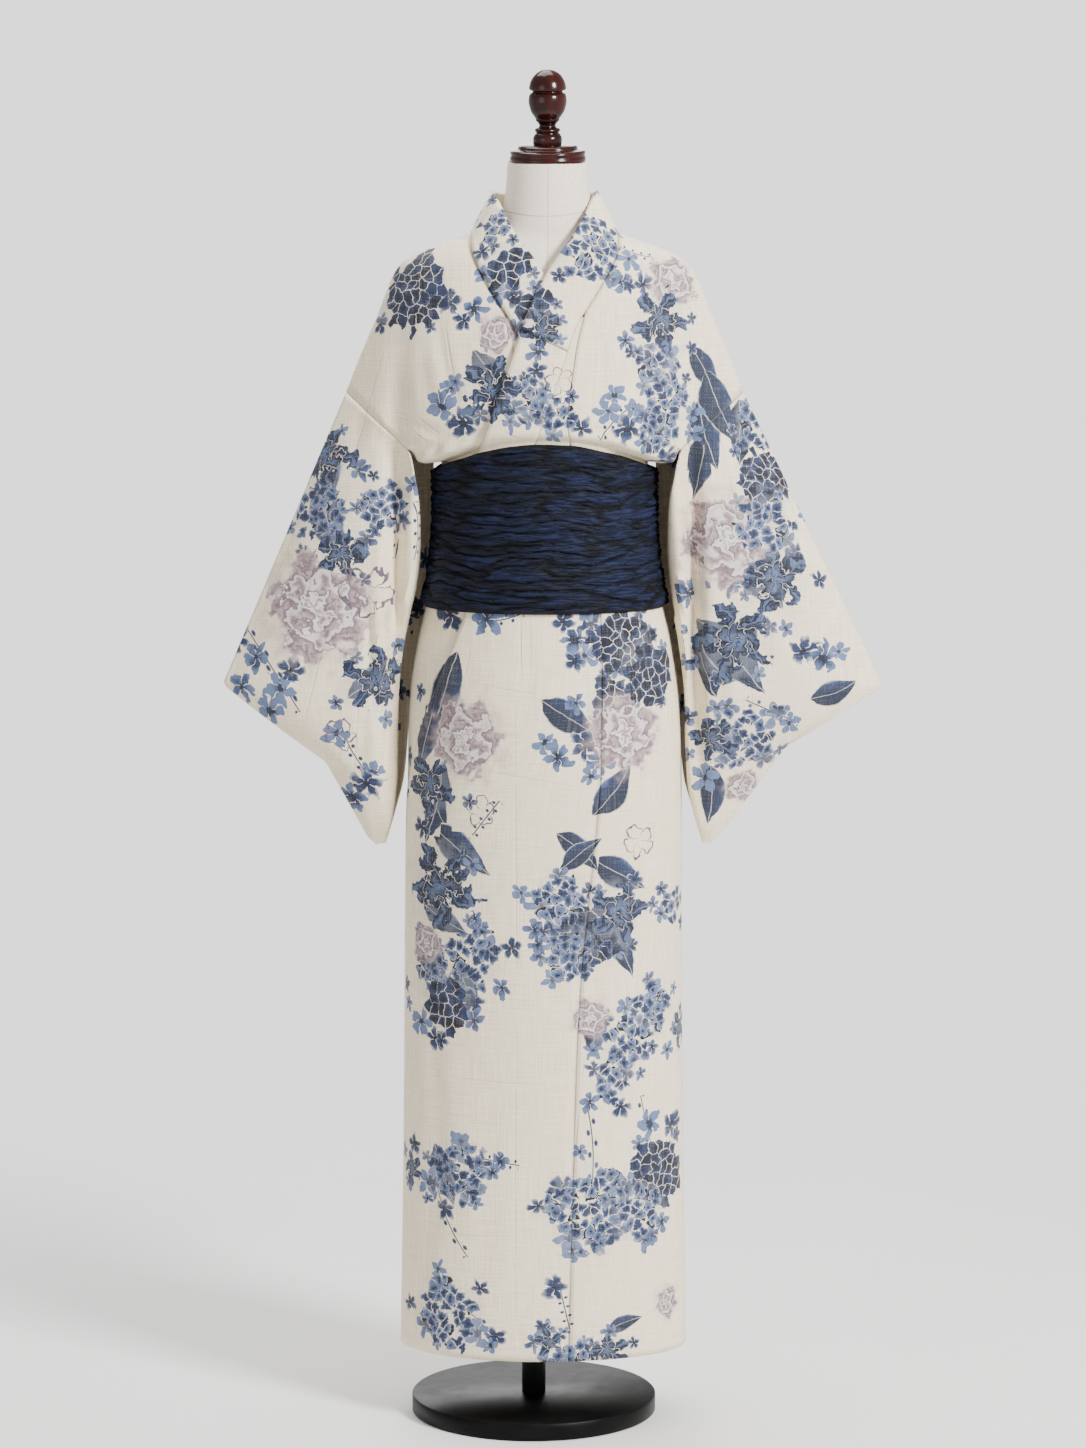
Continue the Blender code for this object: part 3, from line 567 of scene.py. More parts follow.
def fold_line():
    """The shoulder fold in front view, from the side of the neck to the sleeve seam."""
    across = [mix(NECK_SIDE[0], SEAM_TOP[0], share) for share in shares(FOLD_COLUMNS)]
    return [(x, fold_height(x)) for x in across]


def neck_line():
    """The back neck seam in front view, from the centre back to the side of the neck."""
    rise = NECK_SIDE[1] - NECK_BACK_Z
    line = []
    for share in shares(NECK_COLUMNS):
        across = math.sin(math.pi / 2 * share)
        line.append((max(SEAM_GAP / 2, NECK_SIDE[0] * across), NECK_BACK_Z + rise * across**2))
    return line


def patch(edges, corners, s, d):
    """A point in the patch between four edges, from their points at the shares s and d."""
    top, foot, start, end = (Vector(point) for point in edges)
    top_start, top_end, foot_start, foot_end = (Vector(point) for point in corners)
    corner = top_start.lerp(top_end, s).lerp(foot_start.lerp(foot_end, s), d)
    return top.lerp(foot, d) + start.lerp(end, s) - corner

# %% The front's cloth, the free band and the sleeves
def chest_foot(x):
    """The height where the front leaves the chest's rings to go into the sash."""
    inner = OKUMI_SEAM(CHEST_FOOT_Z["front"], "x")
    share = max(0, (abs(x) - inner) / (UNDERARM[0] - inner))
    return mix(CHEST_FOOT_Z["front"], UNDERARM[1], share * share)


def front_point(x, z, lift):
    """The front's cloth at x and z, anywhere above the sash's lower edge."""
    foot = chest_foot(x)
    if z >= foot:
        return upper_point(x, z, "front", lift)
    angle = angle_at(x, min(z, LOWER.rows[-1][0]), lift)
    mouth = sash_top(angle) + SASH_CLEAR
    if z <= mouth:
        return lower_point(angle, z, lift)
    share = (foot - z) / (foot - mouth)
    high, low = upper_point(x, foot, "front", lift), lower_point(angle, mouth, lift)
    swell = PUFF * math.sin(math.pi * share) ** 2
    return Vector((x, mix(high.y, low.y, share) - swell, z))


def free_point(seam, edge, steep, share):
    """A point across the band where it stands free, clear of the panel at a steep seam."""
    along = (edge - seam).normalized()
    foot = seam + along * steep * (CLOTH / 2 + SEAM_GAP)
    middle = (seam + edge) / 2
    outward = Vector((middle.x, middle.y, 0)).normalized()
    return foot.lerp(edge, share) + outward * BAND_BOW * math.sin(math.pi * share)


def between(points, share):
    """A point on the broken line through rows of (share, x, z)."""
    for (before, *start), (after, *end) in zip(points, points[1:]):
        if share <= after:
            return Vector(start).lerp(Vector(end), (share - before) / (after - before))
    return Vector(points[-1][1:])


def sleeve_sheet(face, outline, edges):
    """The front or back of a sleeve, in rows from its seam on the body to its round foot."""
    sign = -1 if face == "front" else 1
    seam = [Vector(SEAM_TOP).lerp(Vector(UNDERARM), s) for s in SEAM_SHARES]
    grid = []
    cuff_top, cuff_foot = outline[1][0], outline[2][0]
    for drop in SLEEVE_DROPS:
        along_cuff = min(1, max(0, (drop - cuff_top) / (cuff_foot - cuff_top)))
        cuff = CUFF_OPEN * math.sin(math.pi * along_cuff) if 0 < along_cuff < 1 else 0
        outer = between(outline, drop)
        inner_z = SLEEVE_FORM(drop, "inner_z")
        inner = Vector((edges(inner_z, face), inner_z))
        line = []
        for s, at_seam in zip(SEAM_SHARES, seam):
            flat = outer.lerp(inner, s) if drop else at_seam + Vector(SLEEVE_GAP)
            start = upper_depth(at_seam.x, at_seam.y, face)
            swell = SLEEVE_FORM(drop, "depth") * SLEEVE_SWELL(s, "reach")
            edge = round_fold((outer - inner).length * s)
            depth = mix(start, math.hypot(swell, edge), ease(0, 0.3, drop))
            if face == "front":
                depth -= trough(flat.x, flat.y) * ease(0.006, 0.04, depth)
            depth *= 1 - ease(0.93, 1, drop)
            depth += cuff * (1 - s) ** 5
            line.append(Vector((flat.x, SLEEVE_FORM(drop, "middle") + sign * depth, flat.y)))
        grid.append(line)
    return grid

# %% [markdown]
# Cloth on a form is never smooth. Long soft troughs run where it is pulled, with a low
# ridge on each side, and they differ in length, depth and spacing. They could come from a
# cloth simulation, but a pressed cotton robe hangs so still that a table of troughs, added
# to the surface, gives more of the real look. The same troughs move every
# layer, so a layer that lies on another stays on it.

# %% Troughs and ridges in the cloth
# Each row is a trough's two ends (x, z), its depth and its half width, in metres.
FRONT_FOLDS = (
    (-0.122, 1.300, -0.094, 1.195, 0.0030, 0.0075),
    (-0.135, 1.285, -0.128, 1.190, 0.0022, 0.0080),
    (-0.150, 1.178, -0.112, 1.166, 0.0030, 0.0055),
    (-0.160, 1.160, -0.118, 1.150, 0.0022, 0.0050),
    (0.150, 1.176, 0.112, 1.166, 0.0030, 0.0055),
    (0.160, 1.158, 0.120, 1.150, 0.0022, 0.0050),
    (0.110, 1.300, 0.124, 1.180, 0.0024, 0.0085),
    (0.062, 1.290, 0.050, 1.175, 0.0018, 0.0090),
    (0.138, 1.330, 0.146, 1.230, 0.0024, 0.0080),
    (-0.178, 1.175, -0.176, 0.735, 0.0042, 0.0062),
    (0.173, 1.180, 0.177, 0.740, 0.0042, 0.0062),
    (-0.205, 1.230, -0.300, 0.960, 0.0040, 0.0110),
    (-0.190, 1.180, -0.238, 0.900, 0.0034, 0.0100),
    (-0.215, 1.020, -0.225, 0.740, 0.0036, 0.0100),
    (-0.255, 0.990, -0.300, 0.850, 0.0028, 0.0120),
    (-0.330, 1.000, -0.350, 0.900, 0.0024, 0.0100),
    (0.208, 1.235, 0.290, 1.000, 0.0040, 0.0110),
    (0.196, 1.170, 0.226, 0.930, 0.0036, 0.0095),
    (0.212, 1.020, 0.216, 0.770, 0.0038, 0.0100),
    (0.262, 1.010, 0.316, 0.880, 0.0030, 0.0120),
    (0.335, 0.980, 0.362, 0.890, 0.0024, 0.0100),
    (-0.130, 0.940, -0.140, 0.640, 0.0018, 0.0100),
    (-0.028, 0.975, -0.030, 0.800, 0.0012, 0.0070),
    (0.120, 0.945, 0.136, 0.720, 0.0018, 0.0090),
    (-0.080, 0.880, 0.020, 0.868, 0.0009, 0.0080),
    (0.142, 0.700, 0.150, 0.240, 0.0024, 0.0110),
    (-0.148, 0.560, -0.152, 0.130, 0.0024, 0.0110),
    (0.064, 0.500, 0.020, 0.130, 0.0014, 0.0120),
    (-0.070, 0.420, -0.096, 0.100, 0.0012, 0.0130),
)
BACK_FOLDS = (
    (-0.060, 1.330, -0.085, 1.170, 0.0030, 0.0100),
    (0.070, 1.320, 0.098, 1.165, 0.0028, 0.0100),
    (0.012, 1.290, 0.018, 1.160, 0.0020, 0.0110),
    (-0.140, 1.260, -0.118, 1.160, 0.0036, 0.0090),
    (0.150, 1.270, 0.120, 1.160, 0.0036, 0.0090),
    (-0.205, 1.220, -0.290, 0.930, 0.0042, 0.0120),
    (-0.205, 1.060, -0.220, 0.760, 0.0036, 0.0110),
    (-0.280, 1.020, -0.320, 0.870, 0.0030, 0.0120),
    (0.200, 1.220, 0.280, 0.960, 0.0042, 0.0120),
    (0.206, 1.040, 0.214, 0.760, 0.0036, 0.0110),
    (0.290, 1.000, 0.330, 0.880, 0.0030, 0.0120),
    (-0.110, 0.930, -0.120, 0.500, 0.0024, 0.0120),
    (0.096, 0.930, 0.118, 0.560, 0.0022, 0.0120),
    (-0.045, 0.900, -0.040, 0.300, 0.0014, 0.0120),
    (0.060, 0.620, 0.050, 0.130, 0.0016, 0.0120),
    (-0.120, 0.420, -0.130, 0.110, 0.0020, 0.0120),
)
FOLD_STRENGTH = 1.6

# The slow and the quick unevenness of the whole cloth, and where each face starts in it.
SLOW_WAVE = 0.0022
QUICK_WAVE = 0.0007
WAVES = {"front": 3.0, "back": 11.0}


def trough_depth(x, z, fold):
    """How deep one trough presses the cloth in at x and z."""
    x0, z0, x1, z1, depth, wide = fold
    run, rise = x1 - x0, z1 - z0
    length = math.hypot(run, rise)
    along = ((x - x0) * run + (z - z0) * rise) / length**2
    if not -0.1 < along < 1.1:
        return 0.0
    bend = 0.06 * length * math.sin(math.pi * along) * (-1 if run < 0 else 1)
    across = (((x - x0) * rise - (z - z0) * run) / length - bend) / wide
    if abs(across) > 6:
        return 0.0
    profile = math.exp(-across * across) - 0.5 * math.exp(-((across / 2.1) ** 2))
    return depth * profile * ease(-0.1, 0.3, along) * (1 - ease(0.6, 1.1, along))


def pressed(point, face):
    """A cloth point with the troughs and a slow unevenness added, along the way out."""
    folds = FRONT_FOLDS if face == "front" else BACK_FOLDS
    inward = FOLD_STRENGTH * sum(trough_depth(point.x, point.z, fold) for fold in folds)
    slow = noise.noise(Vector((point.x * 7, point.z * 4.5, WAVES[face])))
    quick = noise.noise(Vector((point.x * 24, point.z * 11, WAVES[face])))
    inward += SLOW_WAVE * slow + QUICK_WAVE * quick
    inward *= ease(0.010, 0.040, abs(point.y))
    inward *= 1 - 0.85 * ease(1.150, 1.140, point.z) * ease(0.955, 0.965, point.z)
    radial = 1 - ease(1.10, 1.15, point.z)
    if abs(point.x) > LOWER(point.z, "half_width") + 0.012:
        radial = 0
    out = Vector((point.x * radial, point.y, 0))
    if out.length < 1e-9:
        return point
    return point - out.normalized() * inward


print("troughs:", len(FRONT_FOLDS) + len(BACK_FOLDS))

# %% [markdown]
# A printed cotton has its pattern on the flat cloth, so it has to follow the surface. An
# image would do that, but here each flower of the print is a row in a table: its middle,
# its size and its kind. Every patch of cloth takes the nearest flower and keeps its own
# place within it as a number, and the material draws the petals from that. The pattern is
# an ordinary one of mop-head flowers, peonies, blades and small sprays.

# %% The print's table
# Heads are (x, z, radius, kind) in metres: kinds are 0 dark cluster, 1 pale peony, 2 dark
# bloom, 3 drawn line, 5 light cluster. The others are (x, z, radius) and two ends.
HEADS = (
    (-0.153, 1.326, 0.034, 0), (-0.060, 1.405, 0.017, 5), (-0.037, 1.357, 0.019, 0),
    (-0.014, 1.312, 0.016, 0), (-0.002, 1.287, 0.017, 2), (-0.056, 1.281, 0.016, 1),
    (0.053, 1.383, 0.029, 5), (0.148, 1.338, 0.023, 1), (0.133, 1.296, 0.027, 2),
    (0.131, 1.247, 0.023, 5), (0.140, 1.207, 0.023, 5), (0.133, 1.171, 0.018, 5),
    (-0.022, 1.210, 0.018, 5), (0.013, 1.190, 0.016, 5), (0.017, 1.230, 0.014, 3),
    (-0.060, 1.221, 0.027, 2), (-0.253, 1.134, 0.028, 2), (-0.261, 1.077, 0.028, 5),
    (-0.236, 1.025, 0.023, 2), (-0.262, 0.961, 0.046, 1), (-0.207, 0.984, 0.025, 3),
    (-0.184, 1.082, 0.021, 5), (-0.193, 0.879, 0.028, 2), (-0.237, 0.815, 0.016, 3),
    (0.249, 1.166, 0.025, 5), (0.257, 1.111, 0.028, 0), (0.259, 1.059, 0.025, 5),
    (0.211, 1.042, 0.039, 1), (0.266, 0.996, 0.030, 2), (0.220, 0.926, 0.032, 2),
    (0.232, 0.809, 0.028, 5), (0.194, 0.809, 0.019, 2), (0.232, 0.751, 0.016, 1),
    (-0.091, 0.818, 0.034, 1), (-0.074, 0.734, 0.016, 3), (-0.121, 0.643, 0.035, 2),
    (-0.134, 0.760, 0.025, 2), (-0.104, 0.308, 0.028, 5), (-0.114, 0.136, 0.030, 5),
    (0.092, 0.927, 0.030, 0), (0.120, 0.887, 0.027, 0), (0.077, 0.864, 0.021, 0),
    (0.092, 0.824, 0.032, 1), (0.018, 0.632, 0.023, 5), (0.052, 0.591, 0.030, 0),
    (0.087, 0.618, 0.025, 2), (0.027, 0.568, 0.021, 5), (0.109, 0.696, 0.018, 3),
    (0.052, 0.494, 0.016, 1), (0.122, 0.497, 0.023, 5), (0.096, 0.462, 0.023, 5),
    (0.078, 0.421, 0.019, 5), (0.053, 0.267, 0.035, 5), (0.134, 0.302, 0.030, 0),
    (0.111, 0.261, 0.023, 5), (0.004, 0.109, 0.012, 2), (0.035, 0.094, 0.014, 5),
    (0.076, 0.094, 0.016, 2), (0.144, 0.145, 0.014, 1), (0.153, 0.620, 0.016, 5),
    (0.160, 0.468, 0.016, 2), (-0.156, 0.302, 0.014, 2), (-0.132, 0.544, 0.023, 5),
    (-0.086, 0.562, 0.025, 5), (-0.115, 0.503, 0.023, 0), (-0.138, 0.573, 0.016, 1),
)
BLOOMS = (
    (-0.107, 1.318, 0.012), (-0.079, 1.307, 0.012), (-0.054, 1.325, 0.012), (-0.093, 1.296, 0.010),
    (-0.128, 1.321, 0.010), (-0.119, 1.202, 0.015), (-0.094, 1.179, 0.015), (-0.108, 1.221, 0.010),
    (0.096, 1.364, 0.011), (0.113, 1.338, 0.011), (0.087, 1.338, 0.011), (0.071, 1.194, 0.014),
    (0.095, 1.173, 0.015), (0.114, 1.185, 0.014), (0.080, 1.213, 0.010), (-0.358, 0.920, 0.014),
    (-0.335, 0.903, 0.014), (-0.306, 0.868, 0.016), (-0.294, 0.889, 0.014), (-0.352, 0.868, 0.014),
    (-0.320, 0.842, 0.014), (-0.208, 0.757, 0.016), (-0.226, 0.739, 0.016), (-0.200, 0.772, 0.010),
    (0.301, 0.914, 0.014), (0.324, 0.905, 0.015), (0.343, 0.909, 0.010), (-0.110, 0.958, 0.017),
    (-0.066, 0.956, 0.015), (-0.045, 0.968, 0.010), (0.023, 0.954, 0.011), (0.035, 0.933, 0.013),
    (0.046, 0.916, 0.013), (0.052, 0.950, 0.014), (0.015, 0.800, 0.014), (0.000, 0.815, 0.011),
    (0.046, 0.812, 0.016), (0.063, 0.795, 0.014), (0.052, 0.777, 0.010), (0.012, 0.174, 0.012),
    (0.000, 0.124, 0.010), (-0.098, 0.338, 0.014), (-0.075, 0.320, 0.014), (-0.052, 0.324, 0.010),
    (-0.133, 0.291, 0.014), (-0.116, 0.261, 0.010), (-0.087, 0.285, 0.014), (-0.081, 0.118, 0.014),
    (-0.058, 0.114, 0.010), (-0.139, 0.118, 0.014), (-0.122, 0.166, 0.013), (0.018, 0.291, 0.014),
    (0.012, 0.267, 0.013), (0.029, 0.231, 0.014), (0.064, 0.231, 0.014), (0.093, 0.291, 0.014),
    (0.122, 0.362, 0.013), (0.151, 0.356, 0.014), (0.166, 0.979, 0.014), (0.127, 0.515, 0.013),
    (0.135, 0.503, 0.010), (0.070, 0.403, 0.010), (-0.243, 0.815, 0.013), (-0.086, 0.509, 0.014),
    (-0.063, 0.573, 0.013), (-0.144, 0.479, 0.014), (-0.127, 0.462, 0.012), (-0.075, 0.597, 0.010),
    (0.186, 0.763, 0.013), (0.203, 0.815, 0.012), (0.267, 0.839, 0.013), (0.284, 0.827, 0.010),
    (0.255, 0.786, 0.013), (0.117, 0.225, 0.012), (-0.005, 0.626, 0.013), (0.000, 0.597, 0.012),
    (-0.005, 0.568, 0.010),
)
LEAVES = (
    (-0.085, 1.264, -0.039, 1.190), (0.166, 1.266, 0.203, 1.203), (0.184, 1.238, 0.224, 1.146),
    (0.178, 1.203, 0.199, 1.123), (-0.225, 0.856, -0.161, 0.897), (0.179, 0.949, 0.255, 0.862),
    (0.185, 0.868, 0.248, 0.961), (0.307, 0.856, 0.365, 0.875), (0.194, 0.780, 0.187, 0.704),
    (-0.101, 0.916, -0.137, 0.812), (-0.120, 0.864, -0.150, 0.777), (-0.145, 0.783, -0.107, 0.708),
    (-0.114, 0.789, -0.143, 0.690), (-0.138, 0.713, -0.061, 0.661), (-0.005, 0.866, 0.061, 0.824),
    (0.054, 0.731, 0.100, 0.789), (0.013, 0.711, 0.064, 0.664), (0.018, 0.669, 0.066, 0.704),
    (0.054, 0.681, 0.121, 0.641), (0.064, 0.503, 0.057, 0.444), (0.070, 0.118, 0.117, 0.133),
    (-0.133, 0.338, -0.104, 0.267), (-0.149, 0.620, -0.086, 0.591), (-0.155, 0.597, -0.109, 0.526),
    (0.184, 1.169, 0.167, 1.088), (0.230, 1.203, 0.219, 1.123), (-0.270, 1.111, -0.230, 1.019),
    (-0.256, 1.157, -0.238, 1.088), (0.168, 0.926, 0.197, 0.856), (0.219, 1.019, 0.277, 0.961),
    (0.024, 0.172, 0.000, 0.183), (-0.103, 0.562, -0.075, 0.503), (0.064, 0.608, 0.104, 0.538),
    (0.029, 0.626, 0.064, 0.562),
)
STEMS = (
    (0.085, 1.386, 0.125, 1.364), (0.125, 1.364, 0.134, 1.341), (0.063, 1.162, 0.108, 1.202),
    (-0.085, 0.956, -0.023, 0.965), (0.018, 0.172, 0.029, 0.124), (0.047, 0.397, 0.053, 0.279),
    (-0.133, 0.302, -0.087, 0.207), (0.110, 0.397, 0.134, 0.302), (-0.369, 0.949, -0.283, 0.842),
    (-0.281, 1.169, -0.236, 1.019), (-0.051, 0.748, -0.086, 0.704), (-0.086, 0.704, -0.103, 0.678),
    (-0.237, 0.833, -0.200, 0.763), (0.232, 0.856, 0.296, 0.827), (-0.178, 1.088, -0.167, 1.019),
    (0.166, 1.341, 0.178, 1.318), (-0.075, 0.326, -0.029, 0.320), (-0.122, 0.160, -0.052, 0.106),
)
# Fine pressed creases are two ends and a strength.
CREASES = (
    (-0.120, 1.295, -0.095, 1.207, 1.6), (-0.028, 0.970, -0.027, 0.880, 1.4),
    (-0.017, 0.965, -0.016, 0.892, 0.6), (-0.034, 0.876, -0.033, 0.515, 0.9),
    (-0.033, 0.515, -0.036, 0.097, 0.8), (-0.091, 0.884, 0.017, 0.866, 0.8),
    (-0.120, 0.858, -0.028, 0.845, 0.6), (-0.086, 0.785, 0.063, 0.760, 0.8),
    (-0.074, 0.702, 0.035, 0.688, 0.6), (-0.144, 0.421, 0.018, 0.414, 0.8),
    (-0.005, 0.411, 0.156, 0.421, 0.6), (-0.157, 0.231, -0.005, 0.236, 0.8),
    (0.006, 0.231, 0.160, 0.224, 0.6), (0.063, 1.287, 0.049, 1.173, 1),
    (0.034, 1.321, 0.063, 1.287, 0.7), (0.108, 1.287, 0.122, 1.179, 1),
    (-0.147, 1.185, -0.119, 1.167, 1.8), (-0.159, 1.171, -0.128, 1.155, 1.4),
    (0.133, 1.179, 0.158, 1.148, 1.6), (0.125, 1.167, 0.149, 1.155, 1.2),
    (-0.051, 1.173, -0.028, 1.164, 0.9), (0.017, 1.239, 0.001, 1.251, 0.8),
    (-0.281, 1.111, -0.327, 0.926, 1), (-0.229, 1.180, -0.283, 0.926, 1),
    (-0.183, 1.283, -0.224, 1.111, 1.2), (-0.198, 1.318, -0.247, 1.169, 0.8),
    (-0.248, 0.949, -0.283, 0.815, 1), (-0.213, 0.914, -0.224, 0.716, 1),
    (-0.176, 1.019, -0.184, 0.716, 1.2), (0.212, 1.283, 0.294, 1.019, 1.2),
    (0.247, 1.203, 0.353, 0.926, 1), (0.201, 1.180, 0.239, 0.972, 1),
    (0.179, 1.019, 0.194, 0.716, 1.2), (0.225, 0.972, 0.249, 0.786, 0.9),
    (0.294, 0.972, 0.353, 0.879, 0.8), (0.018, 0.373, 0.025, 0.100, 0.9),
    (0.052, 0.515, 0.018, 0.160, 1), (-0.133, 0.385, -0.138, 0.112, 0.9),
    (-0.085, 0.933, -0.095, 0.864, 0.7), (0.109, 0.968, 0.116, 0.910, 0.8),
    (0.063, 0.965, 0.065, 0.748, 0.5),
)
print("flowers:", len(HEADS) + len(BLOOMS), "blades:", len(LEAVES), "creases:", len(CREASES))

# %% [markdown]
# A flower is laid on the cloth as a decal is: its own axes lie in the cloth at its middle,
# and every nearby point is measured along them. So a flower at the side of the skirt turns
# away with the cloth, and one that crosses a seam goes on over it. Flowers that overlap are
# put on two layers.

# %% Laying the print on the sheets of cloth
sheets = []
LAYERS = ("head_a", "head_b", "leaf_a", "leaf_b", "bloom_a", "bloom_b", "stem", "crease")
FAR = 9.0
FAR_AWAY = (FAR, FAR, 0.0)

# A motif takes the cells up to MOTIF_REACH of its own size away that face its way and that
# are not lifted off its plane by more than MOTIF_LIFT of its size.
MOTIF_REACH = 1.7
MOTIF_FACING = 0.2
MOTIF_LIFT = 1.5


class Sheet:
    """A grid of cloth points with its face, its flat coordinates and its place in the print."""

    def __init__(self, piece, face, grid, mirror=False):
        points = np.array([[(p.x, p.y, p.z) for p in line] for line in grid])
        self.piece = piece
        self.face = face
        self.flat = flattened(points)
        self.seam = seam_reach(points)
        if mirror:
            points[..., 0] *= -1
            self.flat[..., 0] *= -1
        pressed_points = [[pressed(Vector(p), face) for p in line] for line in points]
        self.points = np.array([[tuple(p) for p in line] for line in pressed_points])
        self.normals = grid_normals(self.points, face)
        self.prints = {}
        sheets.append(self)


def flattened(points):
    """Flat coordinates in metres: each row's steps keep their length and their slant."""
    flat = np.zeros(points.shape[:2] + (2,))
    flat[:, 0] = points[:, 0, ::2]
    steps = np.diff(points, axis=1)
    length = np.linalg.norm(steps, axis=2, keepdims=True)
    slant = steps[..., ::2]
    slant = slant / np.maximum(np.linalg.norm(slant, axis=2, keepdims=True), 1e-6)
    flat[:, 1:] = flat[:, :1] + np.cumsum(slant * length, axis=1)
    return flat


def seam_reach(points):
    """How far each point is from its row's start and end, and from the sheet's last row."""
    run = np.linalg.norm(np.diff(points, axis=1), axis=2)
    start = np.concatenate([np.zeros((len(points), 1)), np.cumsum(run, axis=1)], axis=1)
    drop = np.linalg.norm(np.diff(points, axis=0), axis=2)
    down = np.concatenate([np.cumsum(drop[::-1], axis=0)[::-1], np.zeros((1, points.shape[1]))])
    return np.stack([start, start[:, -1:] - start, down], axis=2)


def grid_normals(points, face):
    """The way out of the cloth at each point."""
    normal = np.cross(np.gradient(points, axis=1), np.gradient(points, axis=0))
    normal /= np.maximum(np.linalg.norm(normal, axis=2, keepdims=True), 1e-12)
    outward = -1.0 if face == "front" else 1.0
    flip = np.sign(normal[..., 1:2] * outward)
    return normal * np.where(flip == 0, 1, flip)


def decal_axes(x, z, face):
    """The cloth's nearest point to x and z, seen from the front or the back, and its axes."""
    best = None
    for sheet in sheets:
        if sheet.face != face:
            continue
        away = np.hypot(sheet.points[..., 0] - x, sheet.points[..., 2] - z)
        depth = sheet.points[..., 1] * (1 if face == "front" else -1)
        score = np.maximum(away, 0.006) + 0.05 * depth
        place = np.unravel_index(score.argmin(), score.shape)
        if best is None or score[place] < best[0]:
            best = (score[place], sheet.points[place], sheet.normals[place])
    middle, normal = best[1].copy(), best[2]
    across = np.cross((0, 0, 1), normal)
    across /= np.linalg.norm(across)
    up = np.cross(normal, across)
    lean = (x - middle[0]) * across * (1 if across[0] > 0 else -1)
    return middle + lean + (z - middle[2]) * up, across, up, normal


def lay(layer, face, middle, along, over, normal, reach, code):
    """Gives one motif to every cell near it: its axes are scaled by reach."""
    for sheet in sheets:
        if sheet.face != face:
            continue
        if layer not in sheet.prints:
            shape = np.array(sheet.points.shape[:2]) - 1
            sheet.prints[layer] = [np.full(shape, FAR), np.zeros((*shape, 4, 3))]
            sheet.prints[layer][1][...] = FAR_AWAY
        nearest, corners = sheet.prints[layer]
        offset = sheet.points - middle
        a, b = offset @ along / reach[0], offset @ over / reach[1]
        facing = sheet.normals @ normal
        lifted = np.abs(offset @ normal) / max(reach)
        local = np.stack([a, b, np.full(a.shape, code)], axis=2)
        cell = [local[:-1, :-1], local[:-1, 1:], local[1:, 1:], local[1:, :-1]]
        centre = sum(cell) / 4
        score = np.maximum(np.abs(centre[..., 0]), np.abs(centre[..., 1]))
        hit = (score < np.minimum(nearest, MOTIF_REACH)) & (facing[:-1, :-1] > MOTIF_FACING)
        hit &= lifted[:-1, :-1] < MOTIF_LIFT
        nearest[hit] = score[hit]
        corners[hit] = np.stack(cell, axis=2)[hit]


def spread_layers(table):
    """Puts each motif on the layer where it overlaps the others least."""
    layers = ([], [])
    for row in table:
        size = row[2] if len(row) == 4 else 0.02

        def crowding(layer):
            return sum(max(0, size + r - math.hypot(row[0] - x, row[1] - z)) for x, z, r in layer)

        chosen = 0 if crowding(layers[0]) <= crowding(layers[1]) else 1
        layers[chosen].append((row[0], row[1], size))
        yield chosen, row


def lay_round(layer, face, x, z, radius, code, turn=0.0):
    """Lays a round motif: local coordinates run from -1 to 1 across it."""
    middle, across, up, normal = decal_axes(x, z, face)
    along = across * math.cos(turn) + up * math.sin(turn)
    over = up * math.cos(turn) - across * math.sin(turn)
    lay(layer, face, middle, along, over, normal, (radius, radius), code)


def lay_long(layer, face, ends, code, width):
    """Lays a long motif between two ends: -1 to 1 along it, and in its widths across it."""
    x0, z0, x1, z1 = ends
    middle, across, up, normal = decal_axes((x0 + x1) / 2, (z0 + z1) / 2, face)
    half = math.hypot(x1 - x0, z1 - z0) / 2
    turn = math.atan2(z1 - z0, x1 - x0)
    if across[0] < 0:
        turn = math.pi - turn
    along = across * math.cos(turn) + up * math.sin(turn)
    over = up * math.cos(turn) - across * math.sin(turn)
    lay(layer, face, middle, along, over, normal, (half, width or half * LEAF_WIDTH), code)


# How much larger the flowers are than their rows say, and how far the print is moved up on
# the back. Heads of these kinds have small blooms scattered round them.
HEAD_SIZE = 1.42
BLOOM_SIZE = 1.35
BACK_LIFT = 0.045
SPRAYED_KINDS = (0, 2, 5)
SPRAYS = 5

# Half widths of a stem's and a crease's patch in metres, and of a leaf's in its half length.
STEM_WIDTH = 0.012
CREASE_WIDTH = 0.010
LEAF_WIDTH = 0.42


